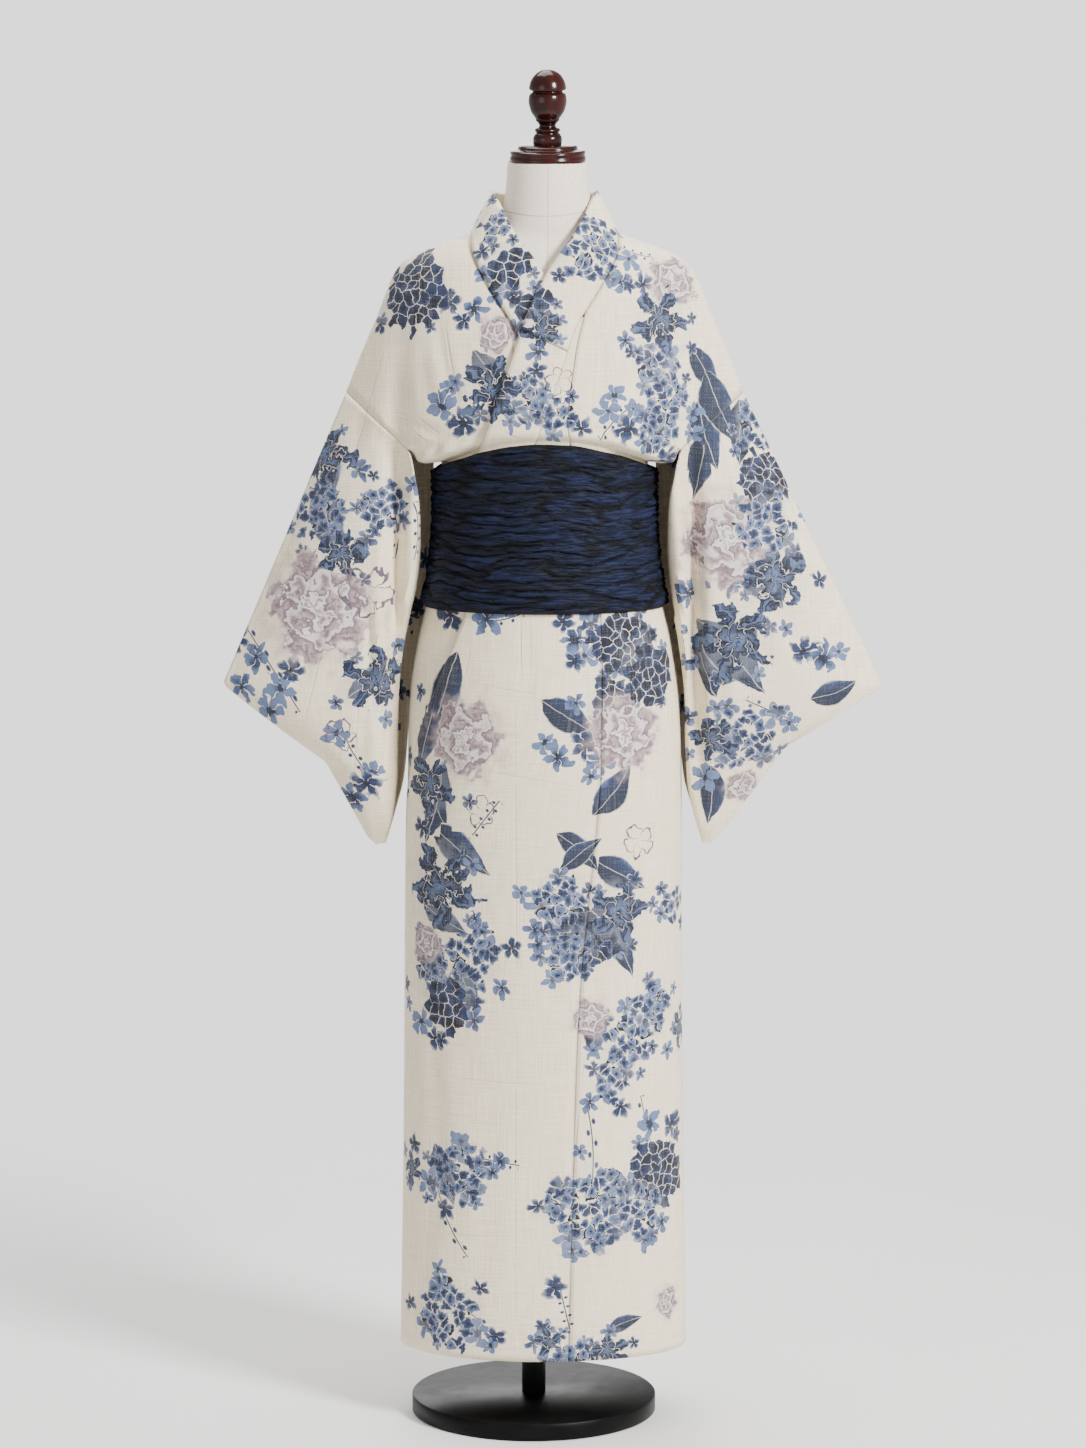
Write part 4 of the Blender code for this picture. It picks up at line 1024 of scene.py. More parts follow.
def print_cloth():
    """Lays the whole table on the fronts and, moved and turned round, on the backs."""
    for face, side, lift in (("front", 1, 0.0), ("back", -1, BACK_LIFT)):
        for index, (layer, (x, z, radius, kind)) in enumerate(spread_layers(HEADS)):
            name = ("head_a", "head_b")[layer]
            radius *= HEAD_SIZE
            lay_round(name, face, side * x, z + lift, radius, kind + radius * 10, index * 1.3)
            for spray in range(SPRAYS if kind in SPRAYED_KINDS else 0):
                turn = index * 1.7 + spray * 1.31
                away = radius * (0.92 + 0.16 * ((index + 3 * spray) % 4))
                place = (side * x + away * math.cos(turn), z + lift + away * math.sin(turn))
                size = 0.0085 + 0.0016 * ((index + spray) % 4)
                lay_round("bloom_b", face, *place, size, (index + spray) % 3 + 0.5, turn)
        for index, (x, z, radius) in enumerate(BLOOMS):
            radius *= BLOOM_SIZE
            lay_round("bloom_a", face, side * x, z + lift, radius, index % 3 + 0.5, index * 0.9)
        for index, (layer, row) in enumerate(spread_layers(LEAVES)):
            name = ("leaf_a", "leaf_b")[layer]
            ends = (side * row[0], row[1] + lift, side * row[2], row[3] + lift)
            lay_long(name, face, ends, index % 4 + 0.5, None)
        for index, row in enumerate(STEMS):
            ends = (side * row[0], row[1] + lift, side * row[2], row[3] + lift)
            lay_long("stem", face, ends, index % 3 + 0.5, STEM_WIDTH)
        for row in CREASES:
            ends = (side * row[0], row[1] + lift, side * row[2], row[3] + lift)
            lay_long("crease", face, ends, row[4], CREASE_WIDTH)


print("layers of the print:", len(LAYERS))

# %% [markdown]
# Each sheet becomes a mesh from Blender's own grid shape, whose points are then put in
# place. Sheets of one piece are joined where they share points, and a Solidify modifier
# gives the cloth its wall. The numbers for the material go on the face corners, so a seam
# between two patches of the print stays sharp.

# %% Making a piece of cloth from its sheets
def cloth_piece(name, node, thick, finish):
    """Builds all the sheets of one piece and lets the piece stand for its solid."""
    bm = bmesh.new()
    flat = bm.loops.layers.uv.new("cloth")
    seam = bm.loops.layers.float_vector.new("seam")
    kept = {layer: bm.loops.layers.float_vector.new(layer) for layer in LAYERS}
    area = 0.0
    for sheet in (s for s in sheets if s.piece == name):
        rows, columns = sheet.points.shape[:2]
        made = bmesh.ops.create_grid(bm, x_segments=columns - 1, y_segments=rows - 1, size=1)
        spots = {}
        for index, vert in enumerate(made["verts"]):
            vert.co = sheet.points[index // columns, index % columns]
            spots[vert] = (index // columns, index % columns)
        for face in {face for vert in made["verts"] for face in vert.link_faces}:
            places = [spots[loop.vert] for loop in face.loops]
            row, column = min(places)
            area += face.calc_area()
            for loop, spot in zip(face.loops, places):
                corner = CORNERS[spot[0] - row, spot[1] - column]
                loop[flat].uv = sheet.flat[spot]
                loop[seam] = sheet.seam[spot]
                for layer in LAYERS:
                    motifs = sheet.prints.get(layer)
                    place = motifs[1][row, column, corner] if motifs else FAR_AWAY
                    loop[kept[layer]] = place
    bmesh.ops.remove_doubles(bm, verts=bm.verts, dist=1e-5)
    bmesh.ops.recalc_face_normals(bm, faces=bm.faces)
    bm.transform(Matrix.Translation((MIDDLE_X, 0, 0)))
    piece = finished(name, bm, finish)
    wall = piece.modifiers.new("wall", "SOLIDIFY")
    wall.thickness = thick
    wall.offset = 0
    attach(piece, "root")
    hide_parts(node)
    print(name, "faces", len(piece.data.polygons), "area", round(area, 3))
    return piece, round(area, 3)


CORNERS = {(0, 0): 0, (0, 1): 1, (1, 1): 2, (1, 0): 3}


def finished(name, bm, finish):
    """The bmesh as a named object in the scene, smooth apart from its sharp edges."""
    mesh = bpy.data.meshes.new(name)
    bm.to_mesh(mesh)
    bm.free()
    mesh.materials.append(finish)
    mesh.shade_smooth()
    mesh.set_sharp_from_angle(angle=math.radians(50))
    piece = bpy.data.objects.new(name, mesh)
    scene.collection.objects.link(piece)
    return piece

# %% [markdown]
# Every number of a finish that changes over the surface is written as an ordinary sum. A
# small class wraps a node's socket, so `1 - mask` or `dark * 0.5` adds the Math node. The
# colours go through Mix nodes, which keep all three channels.

# %% Writing a material as sums
class Flow:
    """One socket of a material's nodes, on which Python's operators add Math nodes."""

    def __init__(self, finish, socket):
        self.finish = finish
        self.socket = socket

    def math(self, operation, *values):
        inputs = dict(enumerate(values))
        return self.finish.add("ShaderNodeMath", {"operation": operation}, inputs)

    def __add__(self, other):
        return self.math("ADD", self, other)

    def __radd__(self, other):
        return self.math("ADD", other, self)

    def __sub__(self, other):
        return self.math("SUBTRACT", self, other)

    def __rsub__(self, other):
        return self.math("SUBTRACT", other, self)

    def __mul__(self, other):
        return self.math("MULTIPLY", self, other)

    def __rmul__(self, other):
        return self.math("MULTIPLY", other, self)

    def __truediv__(self, other):
        return self.math("DIVIDE", self, other)

    def __rtruediv__(self, other):
        return self.math("DIVIDE", other, self)

    def __pow__(self, other):
        return self.math("POWER", self, other)

    def __neg__(self):
        return self.math("MULTIPLY", self, -1.0)

    def __abs__(self):
        return self.math("ABSOLUTE", self)

    def __lt__(self, other):
        return self.math("LESS_THAN", self, other)

    def __gt__(self, other):
        return self.math("GREATER_THAN", self, other)

    def least(self, other):
        return self.math("MINIMUM", self, other)

    def most(self, other):
        return self.math("MAXIMUM", self, other)

    def wave(self):
        return self.math("SINE", self)

    def exponent(self):
        return self.math("EXPONENT", self)

    def part(self):
        return self.math("FRACT", self)

    def whole(self):
        return self.math("FLOOR", self)

    def soft(self, low, high):
        """0 at low and 1 at high, softly between."""
        settings = {"interpolation_type": "SMOOTHSTEP", "data_type": "FLOAT"}
        inputs = {"Value": self, "From Min": low, "From Max": high}
        return self.finish.add("ShaderNodeMapRange", settings, inputs, "Result")


class Finish:
    """A material in the making. One method adds any node."""

    def __init__(self, name, roughness, **constants):
        self.material = bpy.data.materials.new(name)
        self.material.use_nodes = True
        self.tree = self.material.node_tree
        self.shader = self.tree.nodes["Principled BSDF"]
        self.shader.inputs["Roughness"].default_value = roughness
        for socket, value in constants.items():
            self.shader.inputs[socket.replace("_", " ")].default_value = value

    def add(self, kind, settings, inputs, out=0):
        """Adds a node: first its settings, then the values or links of its sockets."""
        node = self.tree.nodes.new(kind)
        for setting, value in settings.items():
            setattr(node, setting, value)
        for socket, value in inputs.items():
            self.feed(node.inputs[socket], value)
        return Flow(self, node.outputs[out])

    def feed(self, socket, value):
        if isinstance(value, Flow):
            self.tree.links.new(value.socket, socket)
        else:
            socket.default_value = value

    def colour(self, low, high, share):
        """A mix of two colours."""
        return self.add("ShaderNodeMix", {"data_type": "RGBA"}, {0: share, 6: low, 7: high}, 2)

    def noise(self, place, scale, detail=2.0, rough=0.5):
        inputs = {"Vector": place, "Scale": scale, "Detail": detail, "Roughness": rough}
        return self.add("ShaderNodeTexNoise", {"noise_dimensions": "3D"}, inputs)

    def stretched(self, place, sizes):
        """A place with each of its axes stretched."""
        return self.add("ShaderNodeVectorMath", {"operation": "MULTIPLY"}, {0: place, 1: sizes})

    def split(self, vector):
        node = self.add("ShaderNodeSeparateXYZ", {}, {0: vector}).socket.node
        return [Flow(self, socket) for socket in node.outputs]

    def on_piece(self):
        return self.add("ShaderNodeTexCoord", {}, {}, "Object")

    def number(self, name):
        """What the mesh carries under a name, as its three numbers."""
        return self.split(self.add("ShaderNodeAttribute", {"attribute_name": name}, {}, "Vector"))

    def paint(self, colour=None, roughness=None, height=None, reach=0.001, strength=1.0):
        """Links what varies to the shader: colour, roughness and, through Bump, height."""
        if colour is not None:
            self.feed(self.shader.inputs["Base Color"], colour)
        if roughness is not None:
            self.feed(self.shader.inputs["Roughness"], roughness)
        if height is not None:
            inputs = {"Height": height, "Distance": reach, "Strength": strength}
            bump = self.add("ShaderNodeBump", {}, inputs, "Normal")
            self.feed(self.shader.inputs["Normal"], bump)
        print("finish", self.material.name, "nodes", len(self.tree.nodes))
        return self.material


def dye(code):
    """A colour from its six-digit code, as the light values that Blender works in."""
    parts = [int(code[i : i + 2], 16) / 255 for i in (0, 2, 4)]
    return (*[p / 12.92 if p < 0.04045 else ((p + 0.055) / 1.055) ** 2.4 for p in parts], 1.0)

# %% [markdown]
# The ground cloth is a cream cotton with a slubby, linen-like yarn: some threads are
# thicker, so the colour and the surface have fine streaks both ways. The dyes are an
# indigo in three strengths and a dusty mauve. Where two petals meet, the dye leaves a thin
# pale line, and inside a petal it runs from dark to light.

# %% The printed cotton: yarn, seams and pressed creases
cotton = Finish("printed_cotton", 0.82, Sheen_Weight=0.12, Sheen_Roughness=0.5)
flat = cotton.add("ShaderNodeUVMap", {"uv_map": "cloth"}, {})
weft = cotton.noise(cotton.stretched(flat, (26.0, 620.0, 0.0)), 1.0, 2.0, 0.55)
warp = cotton.noise(cotton.stretched(flat, (560.0, 22.0, 0.0)), 1.0, 2.0, 0.55)
cloudy = cotton.noise(cotton.stretched(flat, (5.0, 4.0, 0.0)), 1.0, 3.0, 0.5)
threads = weft + warp
ground = cotton.colour(dye("DDCDAE"), dye("F5E8CD"), threads.soft(0.66, 1.34))
ground = cotton.colour(ground, dye("E6D8BE"), cloudy.soft(0.42, 0.78) * 0.6)
start, end, foot = cotton.number("seam")
edge = start.least(end)
seam_line = 1 - edge.soft(0.0004, 0.0016)
stitch_line = edge.soft(0.0022, 0.0030) * (1 - edge.soft(0.0034, 0.0044))
hem_line = foot.soft(0.0135, 0.0145) * (1 - foot.soft(0.0150, 0.0165))
sewn_line = seam_line * 0.35 + stitch_line * 0.10 + hem_line * 0.2
ground = cotton.colour(ground, dye("B9AD98"), sewn_line)
along, across, strength = cotton.number("crease")
across = across * CREASE_WIDTH
fade = (1 - (along * along)).most(0.0)
narrow = across / 0.0011
crease = (-(narrow * narrow)).exponent() * fade * strength
# Painted shade: a pressed crease is coloured a little darker along its line, as well as sunk by the
# bump below.
ground = cotton.colour(ground, dye("CBBFAA"), crease * 0.28)

# %% Petals, clusters and blades as masks
INDIGO = dye("070C1E")
MIDDLE = dye("1B294A")
LIGHT = dye("586A8E")
PALE = dye("D6D2CB")
MAUVE = dye("6E5A64")
DUSTY = dye("AD9A97")
FLORET = 0.0122
wobble = cotton.noise(flat, 260.0, 2.0, 0.6) - 0.5
blots = cotton.noise(flat, 70.0, 3.0, 0.6)
beyond = cotton.add("ShaderNodeVectorMath", {"operation": "ADD"}, {0: flat, 1: (3.7, 1.9, 0.0)})
drift_x = cotton.noise(flat, 46.0, 2.0, 0.6) - 0.5
drift_y = cotton.noise(beyond, 46.0, 2.0, 0.6) - 0.5


def by_hand(x, y, amount):
    """Bends a motif's coordinates a little, so that no two flowers are drawn alike."""
    return x + drift_x * amount, y + drift_y * amount


def petal_edge(x, y, petals, deep, turn=0.0, point=0.6):
    """A flower's outline: how far a petal reaches at the angle of x and y, and the distance."""
    angle = x.math("ARCTAN2", y, x) + turn
    lobe = abs((angle * (petals / 2)).wave())
    distance = (x * x + y * y) ** 0.5
    return (1 - deep) + lobe ** point * deep, distance, lobe


def cells(place, feature):
    settings = {"voronoi_dimensions": "2D", "feature": feature}
    inputs = {"Vector": place, "Scale": 1.0, "Randomness": 0.85}
    return cotton.add("ShaderNodeTexVoronoi", settings, inputs)


def cluster(x, y, radius, light):
    """A mop-head: four-petalled florets packed close on a darker mass. Colour and mask."""
    x, y = by_hand(x, y, 0.45)
    seed = (radius * 1000).whole() * 7
    inputs = {0: x * radius / FLORET + seed, 1: y * radius / FLORET + seed}
    place = cotton.add("ShaderNodeCombineXYZ", {}, inputs)
    floret = cells(place, "F1").socket.node
    middle = Flow(cotton, floret.outputs["Position"])
    lot = cotton.split(Flow(cotton, floret.outputs["Color"]))
    border = cells(place, "DISTANCE_TO_EDGE")
    offset = cotton.add("ShaderNodeVectorMath", {"operation": "SUBTRACT"}, {0: place, 1: middle})
    u, v, _ = cotton.split(offset)
    reach, distance, lobe = petal_edge(u, v, 4, 0.50, lot[0] * 6.28, 0.7)
    petal = distance / (reach * 0.66)
    middle_x, middle_y, _ = cotton.split(middle)
    middle_x, middle_y = middle_x - seed, middle_y - seed
    out = ((middle_x * middle_x + middle_y * middle_y) ** 0.5) * FLORET / radius
    inside = out + (lot[1] - 0.5) * 0.34 < 0.93
    on_petal = petal < 1.0
    solid = on_petal.most((light < 0.5).most(lot[2] > 0.62))
    mask = inside * solid * (border > 0.030 + wobble * 0.05)
    shade = (petal * 0.9 + (lot[2] - 0.5) * 0.9 + (lobe - 0.7) * 0.3 + wobble * 0.5).soft(0.1, 1.1)
    deep = cotton.colour(INDIGO, MIDDLE, shade)
    deep = cotton.colour(deep, LIGHT, (petal > 0.84) * on_petal * lot[1] * 0.40)
    soft = cotton.colour(MIDDLE, LIGHT, shade)
    soft = cotton.colour(soft, PALE, (petal > 0.82) * on_petal * 0.35)
    soft = cotton.colour(INDIGO, soft, on_petal * (petal > 0.20))
    return cotton.colour(deep, soft, light), mask


def peony(x, y):
    """A pale peony: rings of scalloped petals, mauve inside each ring and cream at its edge."""
    x, y = by_hand(x, y, 1.0)
    angle = x.math("ARCTAN2", y, x)
    distance = (x * x + y * y) ** 0.5 + wobble * 0.12 + (blots - 0.5) * 0.45
    scallop = abs((angle * 2.5 + (distance * 2.6).whole() * 1.9).wave())
    ripple = distance + scallop * 0.20
    ring = (ripple * 2.6).part()
    tone = cotton.colour(MAUVE, DUSTY, ring.soft(0.0, 0.55) * (0.6 + scallop * 0.4))
    tone = cotton.colour(tone, PALE, ring.soft(0.40, 0.85) * (1 - distance * 0.35))
    tone = cotton.colour(tone, MAUVE, (ring > 0.955) * 0.6)
    return tone, ripple < 1.02


def bloom_head(x, y):
    """A dark open flower: pointed veined petals round a few lighter inner ones."""
    x, y = by_hand(x, y, 1.1)
    angle = x.math("ARCTAN2", y, x)
    reach, distance, lobe = petal_edge(x, y, 5, 0.58, 0.0, 1.15)
    distance = distance + wobble * 0.08 + (blots - 0.5) * 0.30
    inner, _, inner_lobe = petal_edge(x, y, 5, 0.52, 0.63, 1.0)
    inner = inner * 0.56
    vein = (angle * 34 + blots * 9).wave() * 0.5 + 0.5
    shade = (distance / reach).soft(0.45, 1.05) * 0.4 + (1 - lobe) * 0.4 + (blots - 0.5) * 0.9
    tone = cotton.colour(INDIGO, MIDDLE, shade.soft(0.0, 0.9))
    tone = cotton.colour(tone, LIGHT, vein ** 4 * distance.soft(0.30, 0.95) * 0.55)
    tone = cotton.colour(tone, LIGHT, (lobe > 0.985) * (distance > inner) * 0.6)
    middle = cotton.colour(LIGHT, INDIGO, (distance * 1.7 + (1 - inner_lobe) * 0.8).soft(0.05, 1.0))
    middle = cotton.colour(middle, INDIGO, vein ** 4 * 0.5)
    tone = cotton.colour(tone, middle, distance < inner)
    line = (abs(distance - inner) < 0.020).most((lobe < 0.09) * (distance > inner))
    line = line.most((inner_lobe < 0.07) * (distance < inner) * (distance > 0.12))
    return cotton.colour(tone, PALE, line * 0.75), distance < reach * 1.02


def drawn_flower(x, y):
    """A flower that is only drawn: thin lines on the bare ground."""
    x, y = by_hand(x, y, 0.9)
    reach, distance, lobe = petal_edge(x, y, 5, 0.5, 0.6)
    distance = distance + wobble * 0.06
    line = abs(distance - reach * 0.8) < 0.045
    return cotton.colour(MAUVE, MIDDLE, lobe * 0.4), line.most((lobe < 0.10) * (distance < 0.5))


print("flower kinds: 5")

# %% The print, laid over the ground from stems to heads
print_colour = ground


def over(colour, mask):
    """Prints a colour over what is already there."""
    global print_colour
    print_colour = cotton.colour(print_colour, colour, mask)


along, across, code = cotton.number("stem")
beside = across * STEM_WIDTH - (1 - along * along) * 0.006 * (code - 1.5)
over(MIDDLE, (abs(beside) < 0.00075) * (abs(along) < 1.0))
step = along * 4.5
side = ((step.whole() * 0.5).part() > 0.25) * 2 - 1
bud_along = (step.part() - 0.5) * 3.4
bud_across = (beside - side * 0.0040) / 0.0024
bud = bud_along * bud_along + bud_across * bud_across
over(cotton.colour(INDIGO, LIGHT, bud), (bud < 1.0) * (abs(along) < 0.98))

for layer in ("leaf_a", "leaf_b"):
    along, across, code = cotton.number(layer)
    along, across = by_hand(along, across, 0.30)
    across = across * LEAF_WIDTH + (1 - along * along) * 0.12 * (code - 2.0) * 0.6
    taper = (1 - along * along).most(0.0) ** 1.05 * (1.08 - along * 0.42)
    wide = 0.330 + (code / 4) * 0.14
    beside = abs(across) + wobble * 0.018
    blade = beside < taper * wide
    rib = (beside < 0.011).most((beside > taper * wide * 0.92) * 0.8)
    lines = (((along * 0.9) + abs(across) * 1.7) * 75).wave() * 0.5 + 0.5
    shade = (across / 0.40 + along * 0.4 + blots * 1.8 - 1.1).soft(-0.6, 1.2)
    tone = cotton.colour(INDIGO, MIDDLE, shade)
    tone = cotton.colour(tone, LIGHT, shade.soft(0.70, 1.0) * 0.5)
    tone = cotton.colour(tone, LIGHT, lines ** 4 * 0.35)
    tone = cotton.colour(tone, PALE, rib * 0.55)
    over(tone, blade * (abs(along) < 1.0))

for layer in ("bloom_a", "bloom_b"):
    x, y, code = cotton.number(layer)
    x, y = by_hand(x, y, 1.2)
    reach, distance, lobe = petal_edge(x, y, 5, 0.62, code, 0.8)
    distance = distance + wobble * 0.16 + (blots - 0.5) * 0.35
    petal = (distance < reach) * ((lobe > 0.14).most(distance < 0.2))
    fade = (distance * 1.1 + (code - 1.5) * 0.45 + (blots - 0.5) * 1.6).soft(1.05, 0.1)
    tone = cotton.colour(LIGHT, MIDDLE, fade)
    tone = cotton.colour(tone, INDIGO, (distance < 0.22).most((lobe < 0.3) * (code > 1.9)) * 0.8)
    tone = cotton.colour(tone, PALE, (distance / reach).soft(0.72, 1.0) * (code < 1.0) * 0.5)
    over(tone, petal)

for layer in ("head_a", "head_b"):
    x, y, code = cotton.number(layer)
    near = x * x + y * y < 6.0
    kind = code.whole()
    radius = (code - kind) / 10
    light = kind > 4.5
    wet_x, wet_y = by_hand(x, y, 1.6)
    spread = 1 - ((wet_x * wet_x + wet_y * wet_y) ** 0.5).soft(0.80, 1.30)
    watery = cotton.colour(LIGHT, PALE, 0.45)
    blue_kinds = spread * (abs(kind - 3) > 0.5) * (abs(kind - 1) > 0.5)
    over(watery, blue_kinds * 0.22)
    over(DUSTY, spread * (abs(kind - 1) < 0.5) * 0.45)
    tone, mask = cluster(x, y, radius, light)
    over(tone, mask * near * (kind < 0.5).most(light))
    tone, mask = peony(x, y)
    over(tone, mask * (kind > 0.5) * (kind < 1.5))
    tone, mask = bloom_head(x, y)
    over(tone, mask * (kind > 1.5) * (kind < 2.5))
    tone, mask = drawn_flower(x, y)
    over(tone, mask * (kind > 2.5) * (kind < 3.5))

wear = threads.soft(0.95, 1.45) * 0.09 + blots.soft(0.6, 0.9) * 0.05
faded = cotton.colour(print_colour, dye("EDE6D8"), wear)
slubs = (weft.soft(0.40, 0.85) + warp.soft(0.40, 0.85)) * 0.32
height = slubs - crease * 0.9 - seam_line * 0.6 - stitch_line * 0.3
cotton.paint(colour=faded, height=height, reach=0.0008, strength=0.75)

# %% [markdown]
# The robe's body is two long strips, one on each side, that run from the back hem over the
# shoulder to the front hem without a seam. They meet at the centre of the back. Each half
# is a front sheet and a back sheet that share the fold over the shoulder.

# %% The two body lengths
# The cloth just above the sash: its rows, how far it sags at the sides and its bulge.
MOUTH_ROWS = 12
SAG = 0.007
PUFF = 0.0062
SKIRT_ROWS = [1.134, 1.12, 1.10, 1.07, 1.04, 1.01, 0.985]
SKIRT_ROWS += [mix(SASH_BOTTOM_Z, HEM_Z, share) for share in shares(104)]


def puffed(high, low, share):
    """The cloth between the chest and the sash's mouth: it bulges over the sash's edge."""
    point = high.lerp(low, share)
    radial = ease(0.070, 0.120, abs(point.x))
    out = Vector((point.x * radial, point.y, 0)).normalized()
    uneven = 1 + radial * (1.3 + 1.8 * noise.noise(Vector((point.x * 60, point.y * 60, 2))))
    swell = math.sin(math.pi * share**1.25) ** 2
    return point + (out * PUFF * uneven - Vector((0, 0, SAG * radial))) * swell


def mouth_rows(high, low):
    return [[puffed(a, b, share) for a, b in zip(high, low)] for share in shares(MOUTH_ROWS)[1:-1]]


def chest_sheet(face, over):
    """The front or back of one side, from the shoulder fold to just above the sash."""
    front = face == "front"
    top = fold_line() if front else neck_line()[:-1] + fold_line()
    foot_z = CHEST_FOOT_Z[face]
    foot_x = inner_edge(foot_z) + SEAM_GAP / 2 if front else SEAM_GAP / 2
    corners = (top[0], SEAM_TOP, (foot_x, foot_z), UNDERARM)
    grid = []
    for share in SEAM_SHARES:
        z = mix(top[0][1], foot_z, share)
        start = (SEAM_GAP / 2, z)
        if front:
            start = (inner_edge(z) + SEAM_GAP / 2 * ease(0, 0.1, share), z)
        end = Vector(SEAM_TOP).lerp(Vector(UNDERARM), share)
        line = []
        for s, fold in zip(shares(len(top) - 1), top):
            foot = (mix(foot_x, UNDERARM[0], s), mix(foot_z, UNDERARM[1], s * s))
            x, level = patch((fold, foot, start, end), corners, s, share)
            line.append(upper_point(x, level, face, chest_lift(x, level, over)))
        grid.append(line)
    return grid


def tube_row(face, z, count, over, at_mouth=False):
    """A row of the tube from the front's inner edge, or the centre back, to the side."""
    gap = gap_angle(z)
    if face == "front":
        start, end = angle_at(OKUMI_SEAM(z, "x"), z) + gap, SLIT(z, "angle") - gap
    else:
        start, end = 180 - gap, 180 - SLIT(z, "angle") + gap
        if z <= SLIT.rows[0][0]:
            end = SIDE_ANGLE + gap
    line = []
    for s in shares(count):
        angle = mix(start, end, s)
        level = sash_top(angle) + SASH_CLEAR if at_mouth else z
        line.append(lower_point(angle, level, tube_lift(angle, level, over)))
    return line


def length_sheet(face, over):
    """The front or back half of one length of the robe, from the shoulder to the hem."""
    grid = chest_sheet(face, over)
    columns = len(grid[0]) - 1
    mouth = tube_row(face, SASH_MOUTH_Z, columns, over, at_mouth=True)
    grid += mouth_rows(grid[-1], mouth) + [mouth]
    grid += [tube_row(face, z, columns, over) for z in SKIRT_ROWS]
    return grid


for face in ("front", "back"):
    Sheet("left_length", face, length_sheet(face, over=True))
    Sheet("right_length", face, length_sheet(face, over=False), mirror=True)
print("sheets:", len(sheets), "rows:", sheets[0].points.shape)

# %% [markdown]
# The overlap is a half-width strip sewn to each front. On the left it wraps over everything
# to the right hip; on the right it lies hidden underneath. Its top runs to a point in the
# collar band's seam, so its inner edge leans until it drops out of the sash.

# %% The overlap panels
def overlap_sheet(over):
    """The overlap panel, from its top in the collar band's seam to the hem."""
    columns = 30 if over else 20
    grid = []
    for z in [OKUMI_TOP_Z - 0.005] + [z for z in chest_levels() if z < OKUMI_TOP_Z - 0.006]:
        start, end = BAND_SEAM(z, "x") + SEAM_GAP, inner_edge(z) - SEAM_GAP / 2
        across = [mix(start, end, s) for s in shares(columns)]
        grid.append([upper_point(x, z, "front", chest_lift(x, z, over)) for x in across])
    for z in (SASH_MOUTH_Z, *SKIRT_ROWS):
        at_mouth = z == SASH_MOUTH_Z
        gap = gap_angle(z)
        if z > BAND_END_Z - 0.001:
            level = SASH_TOP_FRONT_Z + SASH_CLEAR if at_mouth else z
            start = angle_at(BAND_SEAM(level, "x"), level, tube_lift(0, level, over)) + 2 * gap
        else:
            start = WRAP(z, "over") if over else -WRAP(z, "under")
        end = angle_at(OKUMI_SEAM(z, "x"), z) - gap
        line = []
        for s in shares(columns):
            angle = mix(start, end, s)
            level = sash_top(angle) + SASH_CLEAR if at_mouth else z
            line.append(lower_point(angle, level, tube_lift(angle, level, over)))
        if at_mouth:
            grid += mouth_rows(grid[-1], line)
        grid.append(line)
    return grid


Sheet("left_overlap", "front", overlap_sheet(over=True))
Sheet("right_overlap", "front", overlap_sheet(over=False), mirror=True)
print("overlap rows:", sheets[-1].points.shape)

# %% [markdown]
# A yukata's sleeve is a flat bag folded over at the top. It is sewn to the body only along
# the shoulder, stays open along its inner side below the arm, and has a cuff that is left
# open for the hand. Its bottom seam is closed and its inner foot is rounded.

# %% The sleeves
for name, outline, edges, mirror in (
    ("left_sleeve", SLEEVE_LEFT, INNER_LEFT, False),
    ("right_sleeve", SLEEVE_RIGHT, INNER_RIGHT, True),
):
    for face in ("front", "back"):
        Sheet(name, face, sleeve_sheet(face, outline, edges), mirror=mirror)
print("sleeve rows:", sheets[-1].points.shape)

# %% [markdown]
# The collar is one long band, folded to 5.6 cm, that runs round the neck and down both
# edges. It stands away from the nape and lies flat on the chest. A second, shorter band of
# the same cloth is laid over its upper part to take the wear, and ends on the chest.

# %% The collar band and its cover
BAND_ROWS = [mix(BAND_SEAM.rows[-1][0], BAND_END_Z, share) for share in shares(96)]


def band_rows(over):
    """The collar band's rows on one side, from the centre back to its end."""
    rows = []
    across = shares(BAND_COLUMNS)
    for (x, z), share in list(zip(neck_line(), shares(NECK_COLUMNS)))[:-1]:
        turn = math.pi / 2 * share
        seam = upper_point(x, z, "back") - Vector((0, SEAM_GAP, 0))
        edge_z = mix(BAND_BACK_TOP_Z, BAND_SIDE_TOP[1], share)
        edge_x = max(SEAM_GAP / 2, BAND_SIDE_TOP[0] * math.sin(turn))
        edge = Vector((edge_x, BAND_BACK_Y * math.cos(turn), edge_z))
        rows.append([free_point(seam, edge, 1, s) for s in across])
    for z in BAND_ROWS:
        seam_x = BAND_SEAM(z, "x") - SEAM_GAP / 2
        edge_x, edge_z = BAND_SEAM(z, "edge_x"), BAND_SEAM(z, "edge_z")
        away = max(0, (edge_z - CROSSING_Z) / (BAND_SIDE_TOP[1] - CROSSING_Z))
        seam = front_point(seam_x, z, chest_lift(seam_x, z, over))
        laid = front_point(edge_x, CROSSING_Z, chest_lift(edge_x, CROSSING_Z, over))
        edge = Vector((edge_x, laid.y * (1 - away**2.4), edge_z))
        row = []
        for s in across:
            x, level = mix(seam_x, edge_x, s), mix(z, edge_z, s)
            lying = front_point(x, level, chest_lift(x, level, over))
            standing = free_point(seam, edge, ease(1.30, 1.385, z), s)
            row.append(lying.lerp(standing, ease(0, 0.35, away)))
        rows.append(row)
    return rows


def moved_out(grid, distance):
    """The grid moved along its normals, away from the form's axis."""
    points = np.array([[tuple(p) for p in line] for line in grid])
    normal = np.cross(np.gradient(points, axis=1), np.gradient(points, axis=0))
    normal /= np.linalg.norm(normal, axis=2, keepdims=True)
    out = points * (1, 1, 0) + (0, 0, 0.05)
    normal *= np.where((normal * out).sum(axis=2, keepdims=True) < 0, -1, 1)
    return [[Vector(p) for p in line] for line in points + normal * distance]


